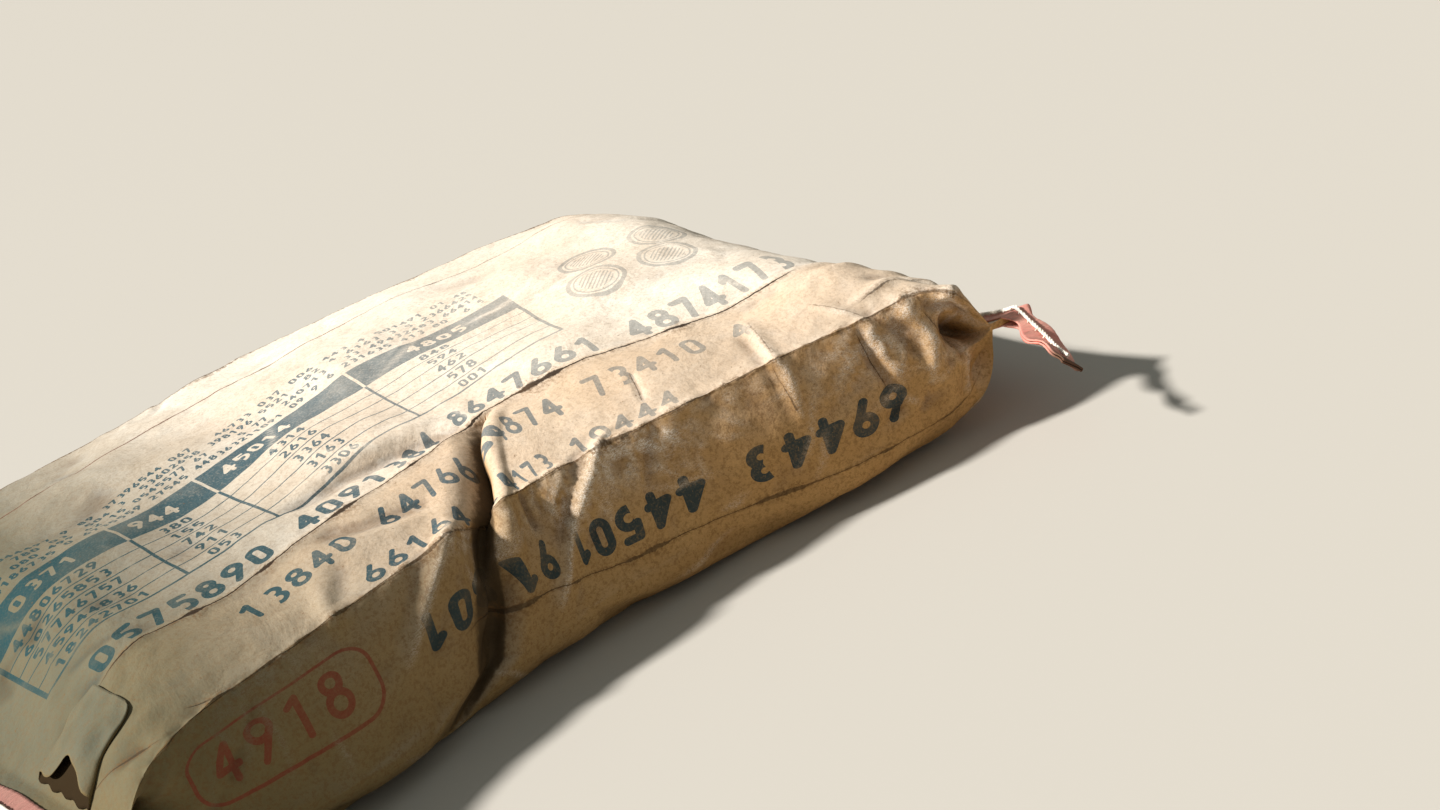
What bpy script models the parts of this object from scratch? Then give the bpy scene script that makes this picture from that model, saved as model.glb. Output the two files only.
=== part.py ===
# A filled 50 kg cement sack of kraft paper, lying flat: a gusseted tube whose two ends are
# sewn shut through a folded crepe tape. Metres, +X along the sack, +Z up, and z = 0 is the
# face that it lies on. The origin is the middle of that face.

import math

import bmesh
import bpy
import numpy as np

# The filled body
SACK_LENGTH = 0.744
TOP_EDGE_HALF_WIDTH = 0.201
TOP_EDGE_HEIGHT = 0.112
BACK_EDGE_HEIGHT = 0.119
CROWN_HEIGHT = 0.138
CROWN_ROUNDNESS = 2.5
GUSSET_HALF_WIDTH = 0.217
GUSSET_HEIGHT = 0.032
BOTTOM_EDGE_HALF_WIDTH = 0.198
BOTTOM_EDGE_HEIGHT = 0.007
BOTTOM_ROUNDNESS = 7.0
PANEL_BULGE = 0.005

# The fill's lumps: two crossing waves, and one hollow on the top panel
SWELL_HEIGHT = 0.0017
SWELL_LENGTH = 0.190
SWELL_WIDTH = 0.330
CROSS_SWELL_LENGTH = 0.135
CROSS_SWELL_WIDTH = -0.210
EDGE_HOLD = 4
HOLLOW_PLACE = -0.055
HOLLOW_WAY = -0.098
HOLLOW_DEPTH = 0.005
HOLLOW_REACH = 0.042
HOLLOW_WIDTH = 0.020

# The sewn ends
SEAM_HALF_WIDTH = 0.214
SEAM_THICKNESS = 0.0046
SEAM_MARGIN = 0.004
FAR_SEAM_HEIGHT = 0.032
FAR_EAR_RISE = 0.038
FAR_BACK_EAR_RISE = -0.014
FAR_TAPER = 0.052
FAR_BACK_TAPER = 0.150
FAR_CORNER_WIDTH = 0.150
FALL_SHAPE = 3.0
BACK_FALL_SHAPE = 2.2
NEAR_FALL_SHAPE = 5
NEAR_SEAM_HEIGHT = 0.086
NEAR_EAR_RISE = -0.012
NEAR_TAPER = 0.090
EAR_SHAPE = 2.5
POCKET_DEPTH = 0.095
POCKET_LENGTH = 0.045
POCKET_CLOSING = 6

# The bend in plan, and the buckle that slants over the top edge on its inner side
BEND_ANGLE = math.radians(16.0)
BEND_PLACE = -0.004
BEND_SPREAD = 0.050
BUCKLE_PLACE = -0.059
BUCKLE_SLANT = -0.95
BUCKLE_SIDE_SLANT = -0.75
BUCKLE_DEPTH = 0.018
BUCKLE_SPREAD = 0.014
BUCKLE_LIP = 0.3
BUCKLE_TOP_REACH = 0.090
BUCKLE_SIDE_REACH = 0.100
BUCKLE_ROUNDING = 0.050
BUCKLE_LEAN_REACH = 0.250

# The tape folded over each mouth, and the thread sewn along it
TAPE_LIP = 0.027
TAPE_THICKNESS = 0.0009
TAPE_TAIL = 0.080
TAPE_CLOSING = 0.020
FAR_TAIL_DROOP = 0.012
NEAR_TAIL_DROOP = 0.026
THREAD_INSET = 0.013
THREAD_RADIUS = 0.0012
THREAD_END_INSET = 0.006

# The filling valve's sleeve, on the slope of the near end
VALVE_WIDTH = 0.050
VALVE_LENGTH = 0.046
VALVE_THICKNESS = 0.006
VALVE_TAPE_GAP = 0.003
VALVE_EDGE_GAP = 0.034
VALVE_LIP = 0.001
VALVE_ROUNDNESS = 4

CLEARANCE = 0.0003

# Mesh steps, with smaller ones and leaning rings where the buckle is
WIDE_STEP = 0.026
FINE_STEP = 0.014
LONG_STEP = 0.017
SHORT_STEP = 0.006
GUSSET_STEPS = 4
TAPER_STEPS = 11
FOLD_STEPS = 6
VALVE_STEPS = 8
TAIL_STEPS = 4
CLOSING_STEPS = 3
NORMAL_STEP = 1e-4

KRAFT = (0.52, 0.38, 0.22)
CREPE_PINK = (0.72, 0.26, 0.20)
THREAD_WHITE = (0.85, 0.82, 0.74)

HALF_LENGTH = SACK_LENGTH / 2
SEAM_FLAT = TAPE_LIP + SEAM_MARGIN
HALF_SEAM = SEAM_THICKNESS / 2
PANEL_COUNT = 4


def clear_scene():
    for old in list(bpy.data.objects):
        bpy.data.objects.remove(old, do_unlink=True)


def ease(x):
    """0 to 1 with a flat start and end."""
    x = np.clip(x, 0.0, 1.0)
    return x * x * (3.0 - 2.0 * x)


def blunt(x):
    """0 to 1 along a quarter circle: a late, steep rise."""
    x = np.clip(x, 0.0, 1.0)
    return 1.0 - np.sqrt(1.0 - x * x)


def mix(a, b, share):
    return a + (b - a) * share


def end_share(s, side, length):
    """0 in the body, 1 from the flat seam outwards, over the given length."""
    return np.clip((side * s - (HALF_LENGTH - SEAM_FLAT - length)) / length, 0.0, 1.0)


def seam_level(side, y):
    """Height of a sewn seam's middle plane at y, with its corners raised or lowered."""
    away = np.clip(np.abs(y) / SEAM_HALF_WIDTH, 0.0, 1.0) ** EAR_SHAPE
    far_rise = np.where(y < 0.0, FAR_EAR_RISE, FAR_BACK_EAR_RISE)
    far = FAR_SEAM_HEIGHT + far_rise * away
    near = NEAR_SEAM_HEIGHT + NEAR_EAR_RISE * away
    return np.where(np.asarray(side) > 0.0, far, near)


def way_down(v):
    """Distance round the sack from the -Y top edge, below 0 on the top panel."""
    gusset_depth = TOP_EDGE_HEIGHT - BOTTOM_EDGE_HEIGHT
    return (v - 1.0) * np.where(v < 1.0, 2.0 * TOP_EDGE_HALF_WIDTH, gusset_depth)


def swell(s, v):
    """Rise of the skin over the fill's lumps, at right angles to the panel."""
    way = way_down(v)
    wave = np.sin(2.0 * np.pi * (s / SWELL_LENGTH + way / SWELL_WIDTH))
    cross_wave = np.sin(2.0 * np.pi * (s / CROSS_SWELL_LENGTH + way / CROSS_SWELL_WIDTH))
    hollow = np.hypot((s - HOLLOW_PLACE) / HOLLOW_REACH, (way - HOLLOW_WAY) / HOLLOW_WIDTH)
    return SWELL_HEIGHT * (wave + cross_wave) - HOLLOW_DEPTH * np.exp(-hollow * hollow)


def section_point(s, v):
    """The sack's skin before the bend, at s along it and v round it.

    v runs 0 to 4: over the top from +Y to -Y, down the -Y gusset, back under the bottom,
    and up the +Y gusset. Each panel is drawn in the full section, and the whole section
    flattens towards the seam as an end closes.
    """
    far = end_share(s, 1.0, FAR_TAPER)
    near = end_share(s, -1.0, NEAR_TAPER)
    pocket = end_share(np.abs(s), 1.0, POCKET_LENGTH)
    tuck = POCKET_DEPTH * pocket**2 * (1.0 - pocket**POCKET_CLOSING)
    widening = ease(far) + ease(near)
    top_y = mix(TOP_EDGE_HALF_WIDTH, SEAM_HALF_WIDTH, widening)
    gusset_y = mix(GUSSET_HALF_WIDTH, SEAM_HALF_WIDTH, widening) - tuck
    bottom_y = mix(BOTTOM_EDGE_HALF_WIDTH, SEAM_HALF_WIDTH, widening)
    panel = np.clip(np.floor(v), 0, PANEL_COUNT - 1)
    w = v - panel
    across = 1.0 - 2.0 * w
    edge = np.abs(across)
    down = np.where(panel == 1, w, 1.0 - w)
    upper = down < 0.5
    part = np.where(upper, 2.0 * down, 2.0 * down - 1.0)
    bulge = PANEL_BULGE * (1.0 - ease(far + near)) * 4.0 * part * (1.0 - part)
    side_y = np.where(upper, mix(top_y, gusset_y, part), mix(gusset_y, bottom_y, part)) + bulge
    facing = np.where(panel == 1, -1.0, 1.0)
    flat_y = np.where(panel == 0, top_y, -bottom_y) * across
    lump = swell(s, v) * (1.0 - edge**EDGE_HOLD) * (1.0 - ease(far + near))
    y = np.where(panel % 2 == 0, flat_y, facing * (side_y + lump))
    sloping = np.where(panel == 0, ease(0.5 + 0.5 * across), panel == 3)
    edge_height = mix(TOP_EDGE_HEIGHT, BACK_EDGE_HEIGHT, sloping)
    top_z = mix(edge_height, CROWN_HEIGHT, 1.0 - edge**CROWN_ROUNDNESS) + lump
    base_z = BOTTOM_EDGE_HEIGHT * edge**BOTTOM_ROUNDNESS
    level = seam_level(s, y)
    backward = ease((y + SEAM_HALF_WIDTH) / FAR_CORNER_WIDTH)
    high = end_share(s, 1.0, mix(FAR_TAPER, FAR_BACK_TAPER, backward))
    far_fall = high ** mix(FALL_SHAPE, BACK_FALL_SHAPE, backward)
    near_fall = near**NEAR_FALL_SHAPE
    crown_fall = mix(blunt(high), far_fall, np.maximum(edge**2, backward))
    crown_fall = crown_fall + mix(ease(near), near_fall, edge**2)
    edge_fall = far_fall + near_fall
    base_rise = blunt(far) + blunt(near)
    over_z = mix(top_z, level + HALF_SEAM, crown_fall)
    under_z = mix(base_z, level - HALF_SEAM, base_rise)
    fold_z = mix(GUSSET_HEIGHT, level, blunt(far) + blunt(near))
    high_z = mix(edge_height, level + HALF_SEAM, edge_fall)
    low_z = mix(BOTTOM_EDGE_HEIGHT, level - HALF_SEAM, base_rise)
    side_z = np.where(upper, mix(high_z, fold_z, part), mix(fold_z, low_z, part))
    z = np.where(panel == 0, over_z, np.where(panel == 2, under_z, side_z))
    return y, z


def leaning(s, v):
    """s on the ring that starts at s, at v: near the buckle a ring leans to run along it."""
    ways = [way_down(0.0), -BUCKLE_TOP_REACH, 0.0, BUCKLE_SIDE_REACH, way_down(3.0)]
    leans = [0.0, -BUCKLE_SLANT * BUCKLE_TOP_REACH, 0.0, BUCKLE_SIDE_SLANT * BUCKLE_SIDE_REACH, 0.0]
    lean = np.interp(way_down(v), ways, leans)
    return s + lean * ease(1.0 - np.abs(s - BUCKLE_PLACE) / BUCKLE_LEAN_REACH)


def buckle(s, v):
    """The skin's shift in y and z where the buckle folds it in.

    On the unrolled paper the buckle is a valley that turns a little at the -Y top edge. It
    pushes down on the top panel and inwards on the gusset.
    """
    down = way_down(v)
    reach = np.where(down < 0.0, BUCKLE_TOP_REACH, BUCKLE_SIDE_REACH)
    slant = np.where(down < 0.0, BUCKLE_SLANT, BUCKLE_SIDE_SLANT)
    fade = 1.0 - blunt(np.abs(down) / reach)
    away = (s - BUCKLE_PLACE - slant * down) / BUCKLE_SPREAD
    push = BUCKLE_DEPTH * fade * np.exp(-away * away) * (1.0 - BUCKLE_LIP * away * away)
    turn = 0.5 * np.pi * ease(0.5 + down / BUCKLE_ROUNDING)
    return push * np.sin(turn), -push * np.cos(turn)


def bend(s, y, z):
    """Carries a point of the straight sack to the bent one."""
    turn = (s - BEND_PLACE) / BEND_SPREAD
    heading = -0.5 * BEND_ANGLE * np.tanh(turn)
    start = np.log(np.cosh(BEND_PLACE / BEND_SPREAD))
    shift = -0.5 * BEND_ANGLE * BEND_SPREAD * (np.log(np.cosh(turn)) - start)
    return np.stack([s - np.sin(heading) * y, shift + np.cos(heading) * y, z], axis=-1)


def skin(s, v):
    """The finished skin of the sack, in metres."""
    s, v = np.broadcast_arrays(np.asarray(s, float), np.asarray(v, float))
    y, z = section_point(s, v)
    shift_y, shift_z = buckle(s, v)
    return bend(s, y + shift_y, z + shift_z)


def new_material(name, colour, roughness):
    material = bpy.data.materials.new(name)
    material.use_nodes = True
    shader = material.node_tree.nodes["Principled BSDF"]
    shader.inputs["Base Color"].default_value = (*colour, 1.0)
    shader.inputs["Roughness"].default_value = roughness
    shader.inputs["Metallic"].default_value = 0.0
    return material


def new_object(name, data, material):
    obj = bpy.data.objects.new(name, data)
    bpy.context.scene.collection.objects.link(obj)
    data.materials.append(material)
    return obj


def loft(name, rings, material, smooth=True):
    """Joins closed rings of equal length into one body, with both ends closed."""
    mesh = bmesh.new()
    rows = [[mesh.verts.new(point) for point in ring] for ring in rings]
    count = len(rows[0])
    for row, following in zip(rows, rows[1:]):
        for i in range(count):
            j = (i + 1) % count
            mesh.faces.new((row[i], row[j], following[j], following[i]))
    mesh.faces.new(rows[0][::-1])
    mesh.faces.new(rows[-1])
    bmesh.ops.recalc_face_normals(mesh, faces=mesh.faces)
    data = bpy.data.meshes.new(name)
    mesh.to_mesh(data)
    mesh.free()
    if smooth:
        data.shade_smooth()
        data.set_sharp_from_angle(angle=math.radians(40.0))
    return new_object(name, data, material)


def run_steps(start, end, step):
    """Even steps from start up to, but not including, end, each about the given length."""
    return np.linspace(start, end, max(1, round(abs(end - start) / step)), endpoint=False)


def panel_steps():
    """0 to 1 across a wide panel from +Y to -Y, closer together where the buckle is."""
    width = 2.0 * TOP_EDGE_HALF_WIDTH
    plain = run_steps(0.0, width - BUCKLE_TOP_REACH, WIDE_STEP)
    buckled = run_steps(width - BUCKLE_TOP_REACH, width, FINE_STEP)
    return np.concatenate([plain, buckled, [width]]) / width


def section_steps():
    """v round the section, without a second copy of the start."""
    over = panel_steps()
    down = np.linspace(1.0, 2.0, 2 * GUSSET_STEPS, endpoint=False)[1:]
    under = 3.0 - over[::-1]
    up = np.linspace(3.0, 4.0, 2 * GUSSET_STEPS, endpoint=False)[1:]
    return np.concatenate([over, down, under, up])


def body_stations():
    """s along the sack, closer together where an end closes and where the buckle is."""
    near_start = -HALF_LENGTH + SEAM_FLAT
    far_start = HALF_LENGTH - SEAM_FLAT
    slope = np.sin(np.linspace(0.0, 0.5 * np.pi, TAPER_STEPS + 1))
    far = far_start - FAR_TAPER + FAR_TAPER * slope
    near = (near_start + NEAR_TAPER - NEAR_TAPER * slope)[::-1]
    first = BUCKLE_PLACE - 2.0 * BUCKLE_SPREAD
    last = BUCKLE_PLACE + 2.0 * BUCKLE_SPREAD
    before = run_steps(near[-1], first, LONG_STEP)[1:]
    buckled = run_steps(first, last, SHORT_STEP)
    after = run_steps(last, far[0], LONG_STEP)
    return np.concatenate([[-HALF_LENGTH], near, before, buckled, after, far, [HALF_LENGTH]])


def make_sack(material):
    v = section_steps()
    rings = [skin(leaning(s, v), v) for s in body_stations()]
    return loft("kraft_sack", rings, material)


def tape_stations():
    """y along a seam, from one tail's end to the other's, closer together past the mouth."""
    reach = SEAM_HALF_WIDTH + TAPE_TAIL
    closed = SEAM_HALF_WIDTH + TAPE_CLOSING
    tail = np.linspace(reach, closed, TAIL_STEPS, endpoint=False)
    closing = np.linspace(closed, SEAM_HALF_WIDTH, CLOSING_STEPS, endpoint=False)
    across = SEAM_HALF_WIDTH * (1.0 - 2.0 * panel_steps())
    return np.concatenate([tail, closing, across, -closing[::-1], -tail[::-1]])


def tail_fall(y, droop):
    """How far the tape hangs below the seam at y."""
    past = np.clip((np.abs(y) - SEAM_HALF_WIDTH) / TAPE_TAIL, 0.0, 1.0)
    return droop * past * past


def tape_half_gap(y):
    """Half the space between the tape's two layers: the seam's, then only a clearance."""
    past = (np.abs(y) - SEAM_HALF_WIDTH - CLEARANCE) / TAPE_CLOSING
    return mix(HALF_SEAM + CLEARANCE, CLEARANCE, ease(past))


def tape_section(half_gap):
    """The folded tape's outline: (distance in from the fold, height), as a closed ring."""
    turn = np.linspace(0.5 * np.pi, 1.5 * np.pi, FOLD_STEPS)
    outer = half_gap + TAPE_THICKNESS
    inner_fold = TAPE_THICKNESS + half_gap * (1.0 + np.cos(turn))
    outer_fold = outer * (1.0 + np.cos(turn))
    lip = TAPE_LIP
    over = [(lip, outer)] + list(zip(outer_fold, outer * np.sin(turn))) + [(lip, -outer)]
    back = list(zip(inner_fold, half_gap * np.sin(turn)))[::-1]
    return over + [(lip, -half_gap)] + back + [(lip, half_gap)]


def fold_place(side):
    """s of the tape's fold, just outside the sack's mouth."""
    return side * (HALF_LENGTH + HALF_SEAM + 2.0 * CLEARANCE + TAPE_THICKNESS)


def make_tape(name, side, droop, material):
    rings = []
    for y in tape_stations():
        outline = np.array(tape_section(tape_half_gap(y)))
        s = fold_place(side) - side * outline[:, 0]
        z = seam_level(side, y) + outline[:, 1] - tail_fall(y, droop)
        rings.append(bend(s, np.full_like(s, y), z))
    return loft(name, rings, material, smooth=False)


def make_thread(name, side, droop, material):
    """One run of thread along the top of the tape, tails included."""
    reach = SEAM_HALF_WIDTH + TAPE_TAIL - THREAD_END_INSET
    y = tape_stations()
    y = np.concatenate([[reach], y[np.abs(y) < reach - THREAD_RADIUS], [-reach]])
    s = np.full_like(y, fold_place(side) - side * THREAD_INSET)
    rest = tape_half_gap(y) + TAPE_THICKNESS + CLEARANCE + THREAD_RADIUS
    points = bend(s, y, seam_level(side, y) + rest - tail_fall(y, droop))
    curve = bpy.data.curves.new(name, "CURVE")
    curve.dimensions = "3D"
    curve.bevel_depth = THREAD_RADIUS
    curve.bevel_resolution = 1
    curve.use_fill_caps = True
    spline = curve.splines.new("POLY")
    spline.points.add(len(points) - 1)
    for knot, point in zip(spline.points, points):
        knot.co = (*point, 1.0)
    return new_object(name, curve, material)


def make_valve(material):
    """A flattened sleeve on the near slope: a patch of the skin, lifted and thickened."""
    s_low = -HALF_LENGTH + SEAM_FLAT + VALVE_TAPE_GAP
    v_high = 1.0 - VALVE_EDGE_GAP / (2.0 * TOP_EDGE_HALF_WIDTH)
    v_low = v_high - VALVE_WIDTH / (2.0 * TOP_EDGE_HALF_WIDTH)
    along = np.linspace(s_low, s_low + VALVE_LENGTH, VALVE_STEPS + 1)
    across = np.linspace(v_low, v_high, VALVE_STEPS + 1)
    s, v = np.meshgrid(along, across, indexing="ij")
    run = skin(s + NORMAL_STEP, v) - skin(s - NORMAL_STEP, v)
    side = skin(s, v + NORMAL_STEP) - skin(s, v - NORMAL_STEP)
    normal = np.cross(side, run)
    normal /= np.linalg.norm(normal, axis=-1, keepdims=True)
    lift = 2.0 * CLEARANCE
    share_s = 1.0 - (s - s_low) / VALVE_LENGTH
    share_v = 1.0 - np.abs(2.0 * (v - v_low) / (v_high - v_low) - 1.0) ** VALVE_ROUNDNESS
    thickness = mix(VALVE_LIP, VALVE_THICKNESS, ease(share_s) * share_v)
    under = skin(s, v) + normal * lift
    over = under + normal * thickness[..., None]
    rings = [np.concatenate([o, u[::-1]]) for o, u in zip(over, under)]
    return loft("valve_sleeve", rings, material)


def main():
    clear_scene()
    kraft = new_material("kraft_paper", KRAFT, 0.85)
    valve_kraft = new_material("valve_kraft", KRAFT, 0.85)
    far_crepe = new_material("far_crepe_tape", CREPE_PINK, 0.8)
    near_crepe = new_material("near_crepe_tape", CREPE_PINK, 0.8)
    far_cotton = new_material("far_sewing_thread", THREAD_WHITE, 0.9)
    near_cotton = new_material("near_sewing_thread", THREAD_WHITE, 0.9)
    make_sack(kraft)
    make_valve(valve_kraft)
    make_tape("far_end_tape", 1.0, FAR_TAIL_DROOP, far_crepe)
    make_tape("near_end_tape", -1.0, NEAR_TAIL_DROOP, near_crepe)
    make_thread("far_end_thread", 1.0, FAR_TAIL_DROOP, far_cotton)
    make_thread("near_end_thread", -1.0, NEAR_TAIL_DROOP, near_cotton)


main()
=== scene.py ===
# A filled 50 kg cement sack of gusseted kraft paper, lying flat, with both ends sewn shut
# through folded crepe tape. Every surface is worked out on a grid and fills the CAD's space.

import functools
import math

import bpy
import numpy as np
from mathutils import Matrix


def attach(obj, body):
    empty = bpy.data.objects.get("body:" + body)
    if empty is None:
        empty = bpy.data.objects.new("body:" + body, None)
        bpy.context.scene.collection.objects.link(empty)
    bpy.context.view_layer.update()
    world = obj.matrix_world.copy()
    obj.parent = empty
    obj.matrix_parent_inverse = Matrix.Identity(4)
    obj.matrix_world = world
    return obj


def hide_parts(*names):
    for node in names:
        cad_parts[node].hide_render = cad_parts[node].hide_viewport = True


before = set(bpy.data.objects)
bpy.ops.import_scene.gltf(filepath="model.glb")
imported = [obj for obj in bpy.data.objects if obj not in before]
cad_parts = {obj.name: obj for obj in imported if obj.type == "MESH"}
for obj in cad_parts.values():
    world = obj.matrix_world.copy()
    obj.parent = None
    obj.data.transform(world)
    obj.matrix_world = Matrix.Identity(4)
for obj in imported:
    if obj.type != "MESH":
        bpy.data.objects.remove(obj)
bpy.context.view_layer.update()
print("frame loaded:", sorted(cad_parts))

mm = 0.001
upward = np.array([0.0, 0.0, 1.0])


# small shapes used everywhere

def ease(x):
    # 0 to 1 with a flat start and end: 3x^2 - 2x^3
    x = np.clip(x, 0.0, 1.0)
    return x * x * (3.0 - 2.0 * x)


def blunt(x):
    # 0 to 1 along a quarter circle: 1 - sqrt(1 - x^2)
    return 1.0 - np.sqrt(1.0 - np.clip(x, 0.0, 1.0) ** 2)


def mix(a, b, share):
    return a + (b - a) * share


def bell(x):
    return np.exp(-x * x)


def tent(x):
    # 1 at 0, falling in a straight line to 0 at 1 either way
    return np.clip(1.0 - np.abs(x), 0.0, 1.0)


def spot(s, way, at, reach):
    # 1 at a place, falling off like a bell all round it
    return bell(np.hypot((s - at[0]) / reach[0], (way - at[1]) / reach[1]))


def unit(v):
    # vectors of length 1
    return v / np.maximum(np.linalg.norm(v, axis=-1, keepdims=True), 1e-12)


def softNoise(points, size, seed, waves=14):
    # sum of cosine waves in random directions, each about one size long; about -1 to 1
    rng = np.random.default_rng(seed)
    height = np.zeros(points.shape[:-1])
    for _ in range(waves):
        heading = rng.normal(size=points.shape[-1])
        heading *= 2.0 * np.pi / size * rng.uniform(0.6, 1.4) / np.linalg.norm(heading)
        height += np.cos(points @ heading + rng.uniform(0.0, 2.0 * np.pi))
    return height / math.sqrt(waves)


def linked(name, data):
    obj = bpy.data.objects.new(name, data)
    bpy.context.scene.collection.objects.link(obj)
    return obj


# camera, light and floor

view = dict(
    azimuth=31.56, elevation=24.49, roll=-16.29,   # degrees: heading from +Y, tilt down, lean
    distance=1.4007, aim=(-0.010, 0.0, 0.074), offset=(0.2231, 0.0412),
    lens=52.5, sensor=36.0, film="Standard",
)
lamps = [
    # direction and distance from the sack, watts, colour and size; the key is even all over, with
    # watts for each square metre and its spread in degrees
    dict(name="key", toward=(-0.70, 0.27, 0.64), away=3.0, power=6.7, tint=(1.0, 0.955, 0.890), spread=5.0),
    dict(name="sky", toward=(-0.25, -0.10, 1.0), away=2.6, power=3.0, tint=(0.90, 0.97, 0.94), size=3.0),
    dict(name="bounce", toward=(0.55, -0.90, 0.30), away=2.6, power=1.5, tint=(1.0, 0.86, 0.66), size=2.2),
]
room = dict(lampAim=0.07, air=(0.90, 0.94, 0.86, 1.0), airPower=0.24,
            floor=(0.47, 0.450, 0.415, 1.0), floorHalf=40.0, floorRough=0.9)


def makeCamera():
    az, el, roll = np.radians([view["azimuth"], view["elevation"], view["roll"]])
    ahead = np.array([np.sin(az) * np.cos(el), np.cos(az) * np.cos(el), -np.sin(el)])
    level = unit(np.cross(ahead, upward))
    above = np.cross(level, ahead)
    right = np.cos(roll) * level + np.sin(roll) * above
    up = np.cos(roll) * above - np.sin(roll) * level
    place = view["aim"] + view["offset"][0] * right + view["offset"][1] * up - view["distance"] * ahead
    data = bpy.data.cameras.new("camera")
    data.lens, data.sensor_width = view["lens"], view["sensor"]
    matrix = np.eye(4)
    matrix[:3] = np.stack([right, up, -ahead, place], 1)
    cam = linked("camera", data)
    cam.matrix_world = Matrix(matrix.tolist())
    bpy.context.scene.camera = cam
    bpy.context.scene.view_settings.view_transform = view["film"]


def makeLamps():
    for lamp in lamps:
        data = bpy.data.lights.new(lamp["name"], "SUN" if "spread" in lamp else "AREA")
        if "spread" in lamp:
            data.angle = math.radians(lamp["spread"])
        else:
            data.shape, data.size = "DISK", lamp["size"]
        data.energy, data.color = lamp["power"], lamp["tint"]
        toward = unit(np.array(lamp["toward"]))
        side = unit(np.cross(upward, toward))
        basis = np.stack([side, np.cross(toward, side), toward], 1)
        obj = linked(lamp["name"], data)
        obj.location = toward * lamp["away"] + upward * room["lampAim"]
        obj.rotation_euler = Matrix(basis.tolist()).to_euler()
    world = bpy.context.scene.world or bpy.data.worlds.new("studio")
    bpy.context.scene.world = world
    world.use_nodes = True
    back = world.node_tree.nodes["Background"]
    back.inputs["Color"].default_value = room["air"]
    back.inputs["Strength"].default_value = room["airPower"]


def floorPaint(tree):
    return {"Base Color": room["floor"], "Roughness": room["floorRough"]}


def makeFloor():
    half = room["floorHalf"]
    data = bpy.data.meshes.new("floor")
    corners = [(-half, -half, 0.0), (half, -half, 0.0), (half, half, 0.0), (-half, half, 0.0)]
    data.from_pydata(corners, [], [(0, 1, 2, 3)])
    data.materials.append(newMaterial("studioFloor", floorPaint))
    linked("floor", data)


# node maths that reads as a formula

class Wire:
    # one value flowing through a node tree; its sums, products and comparisons are Math nodes
    def __init__(self, tree, out):
        self.tree, self.out = tree, out

    def math(self, operation, *others, clamp=False):
        sockets = dict(enumerate((self, *others)))
        return addNode(self.tree, "Math", sockets, operation=operation, use_clamp=clamp)

    def invert(self):
        return self.math("MULTIPLY_ADD", -1.0, 1.0)

    def clamp(self):
        return self.math("ADD", 0.0, clamp=True)

    def between(self, low, high):
        # a smooth step from 0 at low to 1 at high, either way round
        ends = {"Value": self, "From Min": min(low, high), "From Max": max(low, high)}
        step = addNode(self.tree, "MapRange", ends, interpolation_type="SMOOTHSTEP")
        return step if low < high else step.invert()


wireMaths = dict(
    __add__="ADD", __sub__="SUBTRACT", __mul__="MULTIPLY", __truediv__="DIVIDE", __pow__="POWER",
    __mod__="FLOORED_MODULO", __abs__="ABSOLUTE", __gt__="GREATER_THAN", __lt__="LESS_THAN",
    floor="FLOOR", least="MINIMUM", most="MAXIMUM",
)
for key, operation in wireMaths.items():
    setattr(Wire, key, functools.partialmethod(Wire.math, operation))


def put(socket, value):
    if isinstance(value, Wire):
        value.tree.links.new(value.out, socket)
    else:
        socket.default_value = value


def addNode(tree, kind, sockets, output=0, **settings):
    # a node with its settings and its sockets, by name or number; gives one of its outputs
    node = tree.nodes.new("ShaderNode" + kind)
    for key, value in settings.items():
        setattr(node, key, value)
    for key, value in sockets.items():
        put(node.inputs[key], value)
    return Wire(tree, node.outputs[output])


# noise textures: scale, detail, roughness and distortion
noises = dict(
    mottle=(16.0, 5.0, 0.60), strand=(520.0, 4.0, 0.70, 0.6), felt=(700.0, 3.0, 0.60, 0.9),
    speck=(420.0, 2.0, 0.50), cloud=(5.0, 5.0, 0.60, 0.4), wisp=(34.0, 5.0, 0.65, 0.8),
    grit=(1500.0, 2.0, 0.70), wander=(26.0, 5.0, 0.60), dashes=(21.0, 2.0, 0.50),
    ragged=(380.0, 3.0, 0.70), inkCloud=(11.0, 4.0, 0.60), crumb=(620.0, 3.0, 0.70),
    stain=(4.0, 5.0, 0.60, 0.7), pepper=(360.0, 6.0, 0.78), shadeRag=(170.0, 5.0, 0.70),
    smudge=(26.0, 6.0, 0.70, 0.3), crinkle=(64.0, 6.0, 0.62, 0.6), crushed=(19.0, 6.0, 0.60, 0.5),
    ridges=(620.0, 4.0, 0.65, 1.2), fading=(22.0, 5.0, 0.65), blotch=(60.0, 3.0, 0.60),
    fuzz=(1800.0, 4.0, 0.70), oldThread=(40.0, 4.0, 0.60),
)


def noiseAt(place, key, finer=1.0):
    # one of the noises at a place, as a value from 0 to 1
    sockets = dict(zip(("Scale", "Detail", "Roughness", "Distortion"), noises[key]), Vector=place)
    sockets["Scale"] = finer * sockets["Scale"]
    return addNode(place.tree, "TexNoise", sockets)


def stretched(place, by):
    return addNode(place.tree, "Mapping", dict(Vector=place, Scale=by))


def blendColour(share, a, b, way="MIX"):
    return addNode(share.tree, "Mix", {0: share, 6: a, 7: b}, 2, data_type="RGBA", blend_type=way)


def splitPlace(vector):
    node = addNode(vector.tree, "SeparateXYZ", {0: vector}).out.node
    return [Wire(vector.tree, out) for out in node.outputs]


def joinPlace(x, y, z=0.0):
    return addNode(x.tree, "CombineXYZ", dict(X=x, Y=y, Z=z))


def vectorMath(operation, a, b, output=0):
    return addNode(a.tree, "VectorMath", {0: a, 1: b}, output, operation=operation)


def bumped(height, strength, distance, **under):
    return addNode(height.tree, "Bump", dict(Strength=strength, Distance=distance, Height=height, **under))


def total(parts):
    return functools.reduce(lambda a, b: a + b, parts)


def placeOn(tree):
    return addNode(tree, "TexCoord", {}, "Object")


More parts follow.
